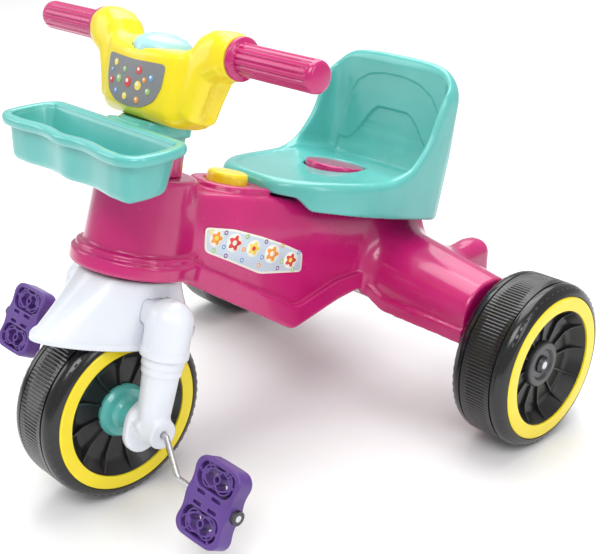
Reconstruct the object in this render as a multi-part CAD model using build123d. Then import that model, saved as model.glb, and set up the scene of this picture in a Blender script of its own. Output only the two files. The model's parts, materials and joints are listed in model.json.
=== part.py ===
from build123d import *
import os
from math import cos, pi, radians, sin

os.makedirs("parts", exist_ok=True)

# Child's tricycle. Millimetres, +Z up, the front faces -Y and +X is the rider's left.
# The origin is on the floor, midway between the front and the rear axle.

# ---------------------------------------------------------------- driving dimensions
WHEELBASE = 354.0
TYRE_R = 86.0
RAKE = 15.5              # the steering axis leans back by this many degrees
FRONT_HALF_W = 31.0      # half the width of the front wheel
REAR_HALF_W = 32.0       # half the width of a rear wheel
REAR_TRACK_X = 221.0     # from the middle plane to the middle of a rear wheel
WALL = 3.0               # wall of the large mouldings
RUN = 0.08               # radial clearance of a running fit
GAP = 0.5                # clearance between pieces that move past each other

AXLE_R = 4.0             # rear axle rod
CRANK_R = 3.0            # bent front crank rod
CRANK_THROW = 26.0
CRANK_ANGLE = 59.0       # the left crank points this far below straight ahead
PEDAL_X = 166.0          # middle of a pedal
BOSS_X = 82.0            # outer face of a fork boss
ELBOW_X = 118.0

COLUMN_TOP = 222.0       # heights along the steering axis, above the front axle
COLUMN_BOTTOM = 134.0
DECK = 211.0
SLEEVE_TOP = 245.0
COLLAR_TOP = 269.0
GRIP_HEIGHT = 337.0
STEERER_R = 18.0

FRONT_Y = -WHEELBASE / 2
REAR_Y = WHEELBASE / 2

# Steering frame: origin at the front wheel's centre, z along the steering axis,
# x to the rider's left and y to the rear.
STEER = Plane(origin=(0, FRONT_Y, TYRE_R), x_dir=(1, 0, 0),
              z_dir=(0, sin(radians(RAKE)), cos(radians(RAKE)))).location


# ---------------------------------------------------------------- helpers
def save(name, shape):
    """Write one node; a list of solids is kept as separate solids in one file."""
    if isinstance(shape, (list, tuple)):
        shape = Compound(children=[s.solid() for s in shape])
    export_step(shape, f"parts/{name}.step")


def steered(shape):
    """Move a shape from the steering frame to the part's frame."""
    return STEER * shape


def mirrored(shape):
    return mirror(shape, about=Plane.YZ)


def rod(x0, x1, r, y=0.0, z=0.0):
    """Solid cylinder along X between x0 and x1."""
    return Pos((x0 + x1) / 2, y, z) * Rot(0, 90, 0) * Cylinder(r, abs(x1 - x0))


def pipe(x0, x1, r_out, r_in, y=0.0, z=0.0):
    """Hollow cylinder along X."""
    return rod(x0, x1, r_out, y, z) - rod(x0 - 1, x1 + 1, r_in, y, z)


def post(r, z0, z1, x=0.0, y=0.0):
    """Solid cylinder along Z from z0 to z1."""
    return Pos(x, y, (z0 + z1) / 2) * Cylinder(r, z1 - z0)


def block(x0, x1, y0, y1, z0, z1):
    return Pos((x0 + x1) / 2, (y0 + y1) / 2, (z0 + z1) / 2) * Box(x1 - x0, y1 - y0, z1 - z0)


def side_prism(points, half_width):
    """Prism across X from a closed (y, z) outline."""
    face = make_face(Polyline([(0, y, z) for y, z in points], close=True))
    return extrude(face, half_width, dir=(1, 0, 0), both=True)


def end_prism(points, y0, y1):
    """Prism along Y from a closed (x, z) outline."""
    face = make_face(Polyline([(x, y0, z) for x, z in points], close=True))
    return extrude(face, y1 - y0, dir=(0, 1, 0))


def spun(points):
    """Body of revolution about X from a closed (x, radius) outline."""
    return revolve(make_face(Polyline([(x, r) for x, r in points], close=True)), Axis.X)


# ---------------------------------------------------------------- wheels
RIM_R = 67.0             # outside of the rim, inside of the tyre
RING_R = 75.0            # outside of the yellow trim ring
RING_T = 3.0             # thickness of the trim ring
RING_PROUD = 0.8         # how far the ring stands out of the tyre's side
SHOULDER_R = 12.0        # rounding of the tyre's shoulders
RIM_WALL = 3.5
WEB_T = 3.0
HUB_R = 13.0
RIBS = 12


def tyre(half, faces):
    """Moulded tyre with a seat for a trim ring on each side named in faces."""
    section = Pos(0, (RIM_R + TYRE_R) / 2) * Rectangle(2 * half, TYRE_R - RIM_R)
    corners = section.vertices().group_by(Axis.Y)[-1]
    solid = revolve(fillet(corners, SHOULDER_R), Axis.X)
    for side in faces:
        seat = sorted((side * (half - RING_T), side * (half + 1)))
        solid -= pipe(seat[0], seat[1], RING_R, RIM_R - 1)
        groove = sorted((side * (half - 12.0), side * (half - 13.5)))
        solid -= pipe(groove[0], groove[1], TYRE_R + 1, TYRE_R - 1.5)
    return solid


def trim_ring(half, side, inner_r):
    """Flat ring with a bevelled outer edge, seated in the tyre's side."""
    back = half - RING_T
    front = half + RING_PROUD
    outline = [(back, inner_r), (front - 0.8, inner_r), (front, inner_r + 0.8), (front, RING_R - 2.0),
               (front - 1.5, RING_R), (back, RING_R)]
    return spun([(side * x, r) for x, r in outline])


def rim(half, faces, bore_r, dish):
    """Barrel, hub and one ribbed web for each face, set back by dish."""
    edge = half - RING_T
    shell = pipe(-edge, edge, RIM_R, RIM_R - RIM_WALL)
    far = 2.0 if len(faces) == 1 else dish
    solid = shell + pipe(-edge + far, edge - dish, HUB_R, bore_r)
    for side in faces:
        outer = side * (edge - dish)
        inner = outer - side * WEB_T
        lo, hi = sorted((inner, outer))
        solid += pipe(lo, hi, RIM_R - 1, HUB_R - 1)
        for k in range(RIBS):
            rib = block(min(outer, outer + side * 4.0), max(outer, outer + side * 4.0),
                        28.0, RIM_R - 2.0, -1.2, 1.2)
            solid += Rot(360 * k / RIBS, 0, 0) * rib
    return solid


def front_wheel():
    at = Pos(0, FRONT_Y, TYRE_R)
    both = (1, -1)
    dish = 10.0
    web = FRONT_HALF_W - RING_T - dish
    save("front_tyre", at * tyre(FRONT_HALF_W, both))
    save("front_rim", at * rim(FRONT_HALF_W, both, CRANK_R, dish))
    for name, side in (("left", 1), ("right", -1)):
        save(f"front_ring_{name}", at * trim_ring(FRONT_HALF_W, side, 62.0))
        save(f"front_hub_{name}", at * front_hub(side, web))


def front_hub(side, web):
    """Stepped teal flange between the wheel's web and the fork boss."""
    outline = [(web, CRANK_R), (web, 26.0), (web + 5.0, 26.0), (web + 8.0, 23.0), (web + 8.0, 12.0),
               (FORK_INNER_X - GAP, 9.0), (FORK_INNER_X - GAP, CRANK_R)]
    return spun([(side * x, r) for x, r in outline])


def rear_wheel(name, side):
    at = Pos(side * REAR_TRACK_X, REAR_Y, TYRE_R)
    dish = 14.0
    web = REAR_HALF_W - RING_T - dish
    save(f"rear_tyre_{name}", at * tyre(REAR_HALF_W, (side,)))
    save(f"rear_ring_{name}", at * trim_ring(REAR_HALF_W, side, 60.5))
    save(f"rear_rim_{name}", at * rear_rim(side, dish))
    disc = [(web, AXLE_R + RUN), (web, 24.0), (web + 5.0, 24.0), (web + 6.5, 22.0), (web + 6.5, 15.0),
            (web + 3.0, 13.0), (web + 3.0, AXLE_R + RUN)]
    save(f"rear_hub_disc_{name}", at * spun([(side * x, r) for x, r in disc]))


def rear_rim(side, dish):
    solid = rim(REAR_HALF_W, (1,), AXLE_R + RUN, dish)
    return solid if side > 0 else mirrored(solid)


# ---------------------------------------------------------------- rear axle
WHEEL_IN_X = REAR_TRACK_X - REAR_HALF_W + RING_T + 2.0      # inner end of a rear hub
WHEEL_OUT_X = REAR_TRACK_X + REAR_HALF_W - RING_T - 14.0 + 3.0
ARM_END_X = 182.0
NUT_T = 4.0
AXLE_END_X = WHEEL_OUT_X + GAP + NUT_T


def rear_axle():
    at = Pos(0, REAR_Y, TYRE_R)
    save("rear_axle", at * rod(-AXLE_END_X, AXLE_END_X, AXLE_R))
    spacer = at * pipe(ARM_END_X + 0.2, WHEEL_IN_X - GAP, 11.0, AXLE_R)
    save("rear_axle_spacers", [spacer, mirrored(spacer)])
    x = WHEEL_OUT_X + GAP
    nut = at * spun([(x, AXLE_R), (x, 9.0), (x + 1.5, 9.0), (AXLE_END_X, 6.5), (AXLE_END_X, AXLE_R)])
    save("rear_push_nuts", [nut, mirrored(nut)])


# ---------------------------------------------------------------- body shell
COLUMN_R = 47.0
FLANGE_R = 58.0
FLANGE_H = 17.0
TRUNK_W = 55.0           # half width of the side panels
LIP_W = 60.0             # half width of the skirt lip
DECK_W = 45.0            # half width of the flat deck
TAPER = 11.0             # how much narrower the trunk is at the column
TAPER_Y0 = 30.0          # the trunk widens between these two places
TAPER_Y1 = 170.0
BEVEL_Z = 184.0          # where the deck's bevel meets the side panel
SEAT_PLATE = 226.0       # top of the plate that carries the seat
PLATE_FRONT = 160.0
PLATE_REAR = 350.0
PLINTH_REAR = 334.0      # the plinth ends inside the seat's rear wall
SCREW_X = 34.0
SCREWS = ((200.0, 233.0), (305.0, 241.0))   # place along the seat and top of each screw boss
BUTTON_Y = 96.0
BUTTON_R = 21.0
BUTTON_TRAVEL = 3.0


def plan_taper(w, t):
    """Plan of the trunk: narrow at the column and full width from the skirt's low corner on."""
    narrow = w - TAPER
    half = [(narrow - t, -2), (narrow - t, TAPER_Y0), (w - t, TAPER_Y1), (w - t, 400)]
    outline = half + [(-x, y) for x, y in reversed(half)]
    face = make_face(Polyline([(x, y, 0) for x, y in outline], close=True))
    return extrude(face, 260)


def trunk(t):
    """Deck, side panels and seat plinth in the steering frame; t is the inward offset."""
    low = 60.0 if t else 0.0
    side = [(0, COLUMN_BOTTOM - low), (26, 130 - low), (165, 81 - low), (223, 110 - low), (256, 122 - low),
            (300, 124 - low), (PLATE_REAR - t, 124 - low), (PLATE_REAR - t, SEAT_EDGE - 3 - t),
            (PLINTH_REAR - t, SEAT_EDGE - 3 - t), (PLINTH_REAR - t, SEAT_PLATE - t),
            (PLATE_FRONT + 2 + t, SEAT_PLATE - t), (PLATE_FRONT - 12 + t, DECK - t), (0, DECK - t)]
    bottom = 10.0
    front = [(-TRUNK_W + t, bottom), (TRUNK_W - t, bottom), (TRUNK_W - t, BEVEL_Z), (DECK_W - t, DECK - t),
             (DECK_W - t, SEAT_PLATE - t), (-DECK_W + t, SEAT_PLATE - t), (-DECK_W + t, DECK - t),
             (-TRUNK_W + t, BEVEL_Z)]
    return side_prism(side, 80) & end_prism(front, -1, 400) & plan_taper(TRUNK_W, t)


def skirt_lip(t):
    """The band along the lower edge that stands proud of the side panels."""
    low = 40.0 if t else 0.0
    outline = [(26, 130 - low), (165, 81 - low), (223, 110 - low), (256, 122 - low), (300, 124 - low),
               (300, 140), (256, 140), (217, 129), (160, 103), (150, 103), (26, 151)]
    return side_prism(outline, 80) & plan_taper(LIP_W, t)


def column(t):
    """Slightly tapered column with its stepped flange; t is the inward offset, open below."""
    z0 = COLUMN_BOTTOM - (20.0 if t else 0.0)
    height = COLUMN_TOP - t - z0
    cone = Pos(0, 0, z0 + height / 2) * Cone(COLUMN_R + 2 - t, COLUMN_R - 2 - t, height)
    flange = post(FLANGE_R - t, z0, COLUMN_BOTTOM + FLANGE_H - t)
    step = post(FLANGE_R - 5 - t, z0, COLUMN_BOTTOM + FLANGE_H + 5 - t)
    return cone + flange + step


def arm_section(x, y0, y1, z0, z1, t):
    """Arched section of a rear arm in the plane of one x."""
    w = y1 - y0 - 2 * t
    h = z1 - z0 - t
    plane = Plane(origin=(x, (y0 + y1) / 2, z0 + h / 2), x_dir=(0, 1, 0), z_dir=(1, 0, 0))
    outline = Rectangle(w, h)
    top = outline.vertices().group_by(Axis.Y)[-1]
    return plane * fillet(top, w / 2 - 4)


def arm(t):
    """Left rear arm from the trunk to the wheel, in the part's frame."""
    low = 30.0 if t else 0.0
    y = REAR_Y
    stations = [(30.0, y - 70, y + 34, 118 - low, 190.0), (75.0, y - 68, y + 32, 118 - low, 184.0),
                (125.0, y - 60, y + 28, 114 - low, 173.0), (ARM_END_X - t, y - 56, y + 24, 108 - low, 163.0)]
    sections = [arm_section(x, y0, y1, z0, z1, t) for x, y0, y1, z0, z1 in stations]
    return loft(sections)


def arm_lip():
    """Lip along the front lower edge of the left arm."""
    y = REAR_Y
    rail = [(52.0, y - 74, 118.0), (90.0, y - 70, 117.0), (125.0, y - 64, 114.0), (ARM_END_X, y - 60, 108.0)]
    sections = [Plane(origin=(x, yy + 4, zz + 9), x_dir=(0, 1, 0), z_dir=(1, 0, 0)) * Rectangle(8, 18)
                for x, yy, zz in rail]
    return loft(sections)


def tail_lobe(t):
    """Rounded hump behind the left arm."""
    y = REAR_Y
    solid = block(86 + t, 120 - t, y + 10 + t, y + 74 - t, 60.0 if t else 104.0, 166 - t)
    solid = fillet(solid.edges().filter_by(Axis.Z), 12.0 - t)
    return fillet(solid.faces().sort_by(Axis.Z)[-1].edges(), 8.0 - t)


def body_hull(t):
    """Outer form of the whole body, or the hollow inside it when t is the wall."""
    side = arm(t) + tail_lobe(t)
    return steered(trunk(t) + skirt_lip(t) + column(t)) + side + mirrored(side)


def body_shell():
    lip = arm_lip()
    boss = axle_boss()
    shell = body_hull(0) - body_hull(WALL)
    shell += lip + mirrored(lip) + boss + mirrored(boss)
    shell += steered(head_sleeve() + button_boss() + screw_bosses())
    shell -= rod(-ARM_END_X - 5, ARM_END_X + 5, AXLE_R, REAR_Y, TYRE_R)
    shell -= steered(head_bore() + button_bore() + screw_bores())
    save("body_shell", max(shell.solids(), key=lambda s: s.volume))


def axle_boss():
    """Bearing tube for the axle in the left arm, its ribs, and a hanger inside the arm's root."""
    y = REAR_Y
    solid = rod(150.0, ARM_END_X, 13.0, y, TYRE_R)
    for x0 in (TRUNK_W - WALL, 150.0, ARM_END_X - WALL):
        solid += block(x0, x0 + WALL, y - 13, y + 13, TYRE_R, 130)
        solid += block(x0, x0 + WALL, y - 13, y + 13, 125, 200) & arm(0)
    return solid + rod(TRUNK_W - 6, TRUNK_W, 13.0, y, TYRE_R)


def head_sleeve():
    """Tube inside the column that carries the steerer, and its floor."""
    floor = post(COLUMN_R, COLUMN_BOTTOM + 2, COLUMN_BOTTOM + 5)
    return post(STEERER_R + 4, COLUMN_BOTTOM, COLUMN_TOP) + floor


def head_bore():
    return post(STEERER_R + RUN, COLUMN_BOTTOM - 5, COLUMN_TOP + 5)


def button_boss():
    """Raised platform for the deck button and the well under it."""
    platform = post(34.0, DECK - 2, DECK + 5, 0, BUTTON_Y)
    platform += block(-34, 34, BUTTON_Y, SEAT_FRONT - GAP, DECK - 2, DECK + 5)
    platform -= block(-40, 40, SEAT_FRONT - GAP, SEAT_FRONT + 40, DECK - 3, DECK + 10)
    well = post(BUTTON_R + 4, DECK - 16, DECK + 5, 0, BUTTON_Y)
    well -= block(-40, 40, SEAT_FRONT - GAP, 200, DECK, 230)
    pad = post(SEAT_HOLE_R - 1.5, SEAT_PLATE - 1, PAN - 5, 0, SEAT_HOLE_Y)
    return platform + well + pad


def button_bore():
    return post(BUTTON_R + GAP, DECK - 13, DECK + 20, 0, BUTTON_Y)


def screw_posts(r, z0, z1):
    """Four equal cylinders under the seat's screws."""
    posts = [post(r, z0, z1, sx * SCREW_X, y) for sx in (1, -1) for y, _ in SCREWS]
    return posts[0] + posts[1] + posts[2] + posts[3]


def screw_bosses():
    return screw_posts(6.0, SEAT_PLATE - 12, SEAT_PLATE - 1)


def screw_bores():
    return screw_posts(2.0, SEAT_PLATE - 20, SEAT_PLATE + 5)


def deck_button():
    top = DECK + 5 + 11.0
    foot = DECK - 13 + BUTTON_TRAVEL + 1.0
    cap = post(BUTTON_R, foot, top, 0, BUTTON_Y)
    cap = fillet(cap.edges().group_by(Axis.Z)[-1], 4.0)
    cap -= post(BUTTON_R - 3, foot - 1, top - 4, 0, BUTTON_Y)
    save("deck_button", steered(cap))
    save("deck_button_spring", steered(coil(0, BUTTON_Y, DECK - 13, top - 4, 9.0)))


def coil(x, y, z0, z1, r):
    """Compression spring standing between two heights."""
    wire = 0.7
    turns = 5
    height = z1 - z0 - 2 * wire
    path = Helix(pitch=height / turns, height=height, radius=r)
    start = Plane(origin=path @ 0, z_dir=path % 0)
    return Pos(x, y, z0 + wire) * sweep(start * Circle(wire), path=path)


# ---------------------------------------------------------------- seat
SEAT_W = 88.0
SEAT_FRONT = 120.0
SEAT_REAR = 341.0
SEAT_EDGE = 203.0        # lower edge of the seat's skirt
PAN = 244.0
BACK_TOP = 366.0
SEAT_HOLE_R = 33.0
SEAT_HOLE_Y = 245.0
SEAT_T = 3.0


def seat_outline(t):
    """Plan of the seat: a round-shouldered trapezium narrowing to the front."""
    pts = [(-36 + t, SEAT_FRONT + t), (36 - t, SEAT_FRONT + t), (62 - t, 150), (SEAT_W - t, 230),
           (SEAT_W - t, SEAT_REAR - t), (-SEAT_W + t, SEAT_REAR - t), (-SEAT_W + t, 230), (-62 + t, 150)]
    face = make_face(Polyline(pts, close=True))
    rear = face.vertices().group_by(Axis.Y)[-1]
    face = fillet(rear, 40.0 - t)
    front = face.vertices().group_by(Axis.Y)[0]
    return fillet(front, 16.0 - t)


def pan_line(t):
    """Points of the seat's upper surface from the nose to the foot of the back."""
    return [(SEAT_FRONT - 5, 228 - t), (215, 237 - t), (248, PAN - t)]


def back_line():
    """Points of the seat back in side view, up the front and down the rear."""
    return [(272, 264), (283, 285), (290, 318), (301, 356), (311, BACK_TOP), (321, BACK_TOP - 8),
            (324, 318), (SEAT_REAR, 234), (SEAT_REAR, SEAT_EDGE - 30)]


def seat_mass():
    """The seat before it is hollowed: plan, side view and rounded top corners together."""
    plan = extrude(Pos(0, 0, SEAT_EDGE) * seat_outline(0), 200)
    side = side_prism([(SEAT_FRONT - 5, SEAT_EDGE - 30)] + pan_line(0) + back_line(), 100)
    half = [(SEAT_W, 180), (SEAT_W, 336), (SEAT_W - 8, 352), (SEAT_W - 26, 362), (SEAT_W - 50, 368)]
    return plan & side & end_prism(half + [(-x, z) for x, z in reversed(half)], 90, 360)


def seat_bowl():
    """The space in front of the back and between the raised sides."""
    foot = 8.0                  # the back rises straight from the pan before it leans
    side = [(100, PAN), (SEAT_REAR - 8, PAN), (SEAT_REAR - 8, PAN + foot), (SEAT_REAR - 22, 318),
            (310, BACK_TOP - 9), (302, BACK_TOP + 5), (100, BACK_TOP + 5)]
    return extrude(Pos(0, 0, PAN) * seat_outline(7.0), 150) & side_prism(side, 100)


def seat_underside():
    """The hollow under the pan, inside the skirt."""
    side = [(SEAT_FRONT - 5, 190)] + pan_line(SEAT_T + 1) + [(SEAT_REAR, PAN - SEAT_T - 1), (SEAT_REAR, 190)]
    return extrude(Pos(0, 0, SEAT_EDGE - 1) * seat_outline(SEAT_T), 60) & side_prism(side, 100)


def seat():
    solid = seat_mass() - seat_bowl() - seat_underside()
    solid -= block(-DECK_W - 5, DECK_W + 5, 100, PLATE_FRONT, 180, DECK + GAP)
    screws = []
    for sx in (1, -1):
        for y, top in SCREWS:
            solid += post(6.0, SEAT_PLATE, top, sx * SCREW_X, y)
            solid -= post(2.0, SEAT_PLATE - 1, top - 1.0, sx * SCREW_X, y)
            head = post(4.5, SEAT_PLATE - 15, SEAT_PLATE - 12, sx * SCREW_X, y)
            shank = post(2.0, SEAT_PLATE - 12, top - 1.5, sx * SCREW_X, y)
            screws.append(steered(head + shank))
    solid -= post(SEAT_HOLE_R, 180, 300, 0, SEAT_HOLE_Y)
    save("seat", steered(solid))
    save("seat_screws", screws)


# ---------------------------------------------------------------- stickers
STICKER_T = 0.4


def side_stickers():
    """Smooth decals on the two side panels, laid along the falling skirt."""
    narrow = TRUNK_W - TAPER
    run = TAPER_Y1 - TAPER_Y0
    panel = Plane(origin=(narrow, TAPER_Y0, 0), x_dir=(TAPER, run, 0), z_dir=(run, -TAPER, 0))
    outline = [(9, 182), (43, 181), (77, 175), (107, 168), (133, 160), (136, 140), (83, 138), (44, 150),
               (13, 159)]
    face = fillet(make_face(Polyline(outline, close=True)).vertices(), 4.0)
    decal = extrude(panel * face, STICKER_T, dir=panel.z_dir)
    save("side_sticker_left", steered(decal))
    save("side_sticker_right", steered(mirrored(decal)))


# ---------------------------------------------------------------- fork and mudguard
LEG_X = 64.0
LEG_TOP_R = 21.5
LEG_LOW_R = 15.0
LEG_BAND_Z = 76.0
DOME_Z = 100.0
CROWN_Z0 = 93.0
CROWN_Z1 = 128.0
FORK_INNER_X = 48.0
MUD_TOP_R = 44.0
MUD_LIP_Z = 68.0
MUD_T = 2.5


def fork_leg():
    """Left leg: domed shoulder, stepped bands, tapered tube and the axle boss."""
    leg = post(LEG_TOP_R, LEG_BAND_Z, DOME_Z, LEG_X)
    leg += Pos(LEG_X, 0, DOME_Z) * Sphere(LEG_TOP_R)
    leg += post(LEG_TOP_R + 1.0, LEG_BAND_Z - 8, LEG_BAND_Z, LEG_X)
    leg += post(LEG_TOP_R - 2.0, LEG_BAND_Z - 16, LEG_BAND_Z - 8, LEG_X)
    leg += Pos(LEG_X, 0, 30) * Cone(LEG_LOW_R, LEG_TOP_R - 3.0, 60)
    leg = leg - block(0, FORK_INNER_X - 6, -30, 30, -40, CROWN_Z0)
    boss = rod(FORK_INNER_X, BOSS_X, 14.0) + rod(FORK_INNER_X, FORK_INNER_X + 6, 21.0)
    boss += block(FORK_INNER_X, LEG_X + 8, -14, 14, -2, 20)
    return leg + boss


def fork():
    crown = extrude(Pos(0, 0, CROWN_Z0) * RectangleRounded(2 * LEG_X, 34, 8), 22)
    crown += post(42.0, 112, CROWN_Z1)
    leg = fork_leg()
    solid = crown + leg + mirrored(leg)
    solid += post(STEERER_R, CROWN_Z1 - 1, 284)
    solid -= post(STEERER_R - 3, CROWN_Z1 + 2, 290)
    solid -= rod(-BOSS_X - 5, BOSS_X + 5, CRANK_R + RUN)
    save("fork", steered(solid))
    return solid


def mud_loft(t):
    """Flared cover between the crown and the oval lip; t is the inward offset."""
    top = Pos(0, 0, 131 - t) * Circle(MUD_TOP_R - t)
    mid = Pos(0, -6, 98 - t) * Ellipse(46 - t, 68 - t)
    lip = Pos(0, -6, MUD_LIP_Z + 6) * Ellipse(45 - t, 88 - t)
    low = Pos(0, -6, MUD_LIP_Z - (20 if t else 0)) * Ellipse(45 - t, 89 - t)
    return loft([top, mid]) + loft([mid, lip]) + loft([lip, low])


def mudguard(fork_solid):
    solid = mud_loft(0) - mud_loft(MUD_T)
    solid -= fork_solid
    solid -= post(STEERER_R + 30, 127.9, 140)
    body = max(solid.solids(), key=lambda s: s.volume)
    save("mudguard", steered(body))


# ---------------------------------------------------------------- stem, basket, handlebar
STEM_R = 30.0
BASKET_RIM_Z = 352.0     # above the floor
BASKET_H = 42.0
BASKET_W = 97.5         # half width of the basket's wall at the rim
BASKET_D = 27.0          # half depth at the rim
BASKET_T = 2.5
RIM_OUT = 6.0
BASKET_Y = FRONT_Y + 1.0


def stem_sleeve():
    """Collar between the body's column and the basket's ring."""
    tube = post(STEM_R, COLUMN_TOP + GAP, SLEEVE_TOP) - post(STEERER_R, COLUMN_TOP, SLEEVE_TOP + 1)
    hole = Pos(0, 26, 234) * Rot(90, 0, 0) * Cylinder(2.0, 30)
    save("stem_sleeve", steered(tube - hole))
    shank = Pos(0, (STEERER_R + STEM_R) / 2, 234) * Rot(90, 0, 0) * Cylinder(2.0, STEM_R - STEERER_R)
    head = Pos(0, STEM_R + 1.2, 234) * Rot(90, 0, 0) * Cylinder(4.5, 2.4)
    save("stem_screw", steered(shank + head))


def basket_plan(w, d):
    """Kidney-shaped plan: flat at the back, a shallow wave along the front."""
    half = [(0.30 * w, -d + 3.5), (0.62 * w, -d), (w - 14, -d + 2), (w - 4, -d + 10), (w, 2), (w - 3, d - 7),
            (w - 11, d)]
    return make_face(Polyline([(0, -d)] + half + [(-x, y) for x, y in reversed(half)], close=True))


def basket_walls(t, floor):
    top = Pos(0, BASKET_Y, BASKET_RIM_Z - 6) * basket_plan(BASKET_W - t, BASKET_D - t)
    low_z = BASKET_RIM_Z - BASKET_H + floor
    low = Pos(0, BASKET_Y - 8, low_z) * basket_plan(BASKET_W - 8 - t, BASKET_D - 7 - t)
    return loft([low, top], ruled=True)


def basket_slab(margin, z0, z1):
    """Plan of the rim grown by margin, between two depths under the rim."""
    plan = basket_plan(BASKET_W + margin, BASKET_D + margin)
    return extrude(Pos(0, BASKET_Y, BASKET_RIM_Z + z0) * plan, z1 - z0)


def basket():
    """Level trough on a ring that is clamped round the steerer."""
    solid = basket_walls(0, 0) + basket_slab(RIM_OUT, -9, 0)
    solid -= basket_slab(RIM_OUT - 2.2, -12, -2.2) - basket_slab(0, -12, -2.2)
    well = basket_walls(BASKET_T, BASKET_T) + basket_slab(-BASKET_T, -7, 13)
    ring = post(STEM_R - 2, SLEEVE_TOP, COLLAR_TOP - 11) + post(STEM_R + 2, COLLAR_TOP - 11, COLLAR_TOP)
    ring += block(-22, 22, -38, 0, SLEEVE_TOP, COLLAR_TOP - 2)
    solid += steered(ring) - basket_slab(0, -9, 51)
    solid -= well + steered(post(STEERER_R, SLEEVE_TOP - 2, COLLAR_TOP + 2))
    save("basket", max(solid.solids(), key=lambda s: s.volume))


BAR_FRONT = -22.0
BAR_REAR = 18.0
BAR_HALF = 94.0
HOUSE_TOP = 331.0
HOUSE_W = 52.0
LOBE_TOP = 356.0
GRIP_R = 13.5
GRIP_OUT = 187.0
TUBE_R = 8.0
TUBE_IN = 62.0           # inner end of a grip's tube, inside the ear
DOME_R = 27.0
DOME_H = 13.0
NOSE_Y = -5.0            # middle of the bulging centre box
NOSE_D = 31.0            # half its depth
SPLIT_Y = 0.0            # the front and rear covers meet here
SHELF_Z = 315.0          # the horn's spring stands on this shelf


def bar_outline(t):
    """Front view of the handlebar's covers: shield in the middle, a tall ear on each side."""
    half = [(54 - t, COLLAR_TOP + GAP + t), (66 - t, 276 + t), (72 - t, 296), (77 - t, 312),
            (BAR_HALF - 2 - t, 320 + t / 2), (BAR_HALF - t, 328), (BAR_HALF - t, 348 - t),
            (86 - t, LOBE_TOP - t), (70 + t / 2, LOBE_TOP - 4 - t), (52, 338 - t), (44, HOUSE_TOP - t)]
    return half + [(-x, z) for x, z in reversed(half)]


def bar_wings(t):
    """Ears with bevelled front and rear edges."""
    bevel = 9.0
    faces = []
    for y, inset in ((BAR_FRONT + t, t + bevel), (BAR_FRONT + bevel, t), (BAR_REAR - bevel, t),
                     (BAR_REAR - t, t + bevel)):
        faces.append(make_face(Polyline([(x, y, z) for x, z in bar_outline(inset)], close=True)))
    return loft(faces, ruled=True)


def bar_solid(t):
    z0 = COLLAR_TOP + GAP + t
    height = HOUSE_TOP - t - z0
    nose = Pos(0, NOSE_Y, z0 + height / 2) * Box(2 * (HOUSE_W - t), 2 * (NOSE_D - t), height)
    return bar_wings(t) + fillet(nose.edges().filter_by(Axis.Z), 14.0 - t)


def along_y(r, y0, y1, x, z):
    """Solid cylinder along Y from y0 to y1."""
    return Pos(x, (y0 + y1) / 2, z) * Rot(90, 0, 0) * Cylinder(r, y1 - y0)


def bar_shell():
    """Both covers in one piece, before they are parted."""
    shell = bar_solid(0) - bar_solid(WALL)
    for side in (1, -1):
        shell += rod(side * (TUBE_IN - 3), side * (BAR_HALF - 1), TUBE_R + 3, 0, GRIP_HEIGHT)
        shell -= rod(side * TUBE_IN, side * (BAR_HALF + 5), TUBE_R, 0, GRIP_HEIGHT)
    shell -= post(DOME_R + GAP, HOUSE_TOP - 6, HOUSE_TOP + 5, 0, NOSE_Y)
    shell -= post(STEERER_R, COLLAR_TOP - 2, COLLAR_TOP + 6)
    shelf_w = HOUSE_W - 2
    return shell + block(-shelf_w, shelf_w, NOSE_Y - NOSE_D + 2, NOSE_Y + NOSE_D - 2, SHELF_Z - 3, SHELF_Z)


def handlebar():
    shell = bar_shell()
    rear_half = block(-200, 200, SPLIT_Y, 100, 200, 400)
    front = shell - rear_half
    rear = shell & rear_half
    screws = []
    for x, z, y0, y1 in ((40, 282, NOSE_Y - NOSE_D, NOSE_Y + NOSE_D), (75, 322, BAR_FRONT, BAR_REAR)):
        for sx in (x, -x):
            pillar = along_y(4.5, y0 + 1, y1 - 1, sx, z)
            hole = along_y(1.6, SPLIT_Y - 8, y1, sx, z) + along_y(3.2, y1 - 4, y1 + 1, sx, z)
            front += pillar - rear_half
            front -= hole
            rear += pillar & rear_half
            rear -= hole
            screw = along_y(1.6, SPLIT_Y - 7, y1 - 4, sx, z) + along_y(3.2, y1 - 4, y1 - 2, sx, z)
            screws.append(steered(screw))
    save("handlebar_front_cover", steered(front))
    save("handlebar_rear_cover", steered(rear))
    save("handlebar_screws", screws)
    tube = pipe(TUBE_IN, GRIP_OUT - 6, TUBE_R, TUBE_R - 1.2, 0, GRIP_HEIGHT)
    save("grip_tubes", [steered(tube), steered(mirrored(tube))])


def grip():
    """Left grip: inner flange, fluted barrel and a rounded, closed end."""
    flange = Rot(0, 90, 0) * Cylinder(18.5, 5.0)
    solid = Pos(BAR_HALF + 2.5, 0, 0) * fillet(flange.edges(), 2.0)
    barrel = rod(BAR_HALF + 4, GRIP_OUT, GRIP_R)
    solid += fillet(barrel.faces().sort_by(Axis.X)[-1].edges(), 4.0)
    for k in range(16):
        a = 2 * pi * k / 16
        solid -= rod(BAR_HALF + 9, GRIP_OUT - 9, 1.2, (GRIP_R + 0.4) * cos(a), (GRIP_R + 0.4) * sin(a))
    solid -= rod(BAR_HALF - 5, GRIP_OUT - 6, TUBE_R)
    return Pos(0, 0, GRIP_HEIGHT) * solid


def grips():
    left = grip()
    save("grip_left", steered(left))
    save("grip_right", steered(mirrored(left)))


def dash_panel():
    """Thin shield-shaped plate on the front of the handlebar."""
    y = NOSE_Y - NOSE_D
    outline = [(-37, 318), (37, 318), (35, 296), (22, 283), (0, 279), (-22, 283), (-35, 296)]
    plate = end_prism(outline, y - 0.8, y)
    save("dash_panel", steered(fillet(plate.edges().filter_by(Axis.Y), 4.0)))


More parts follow.
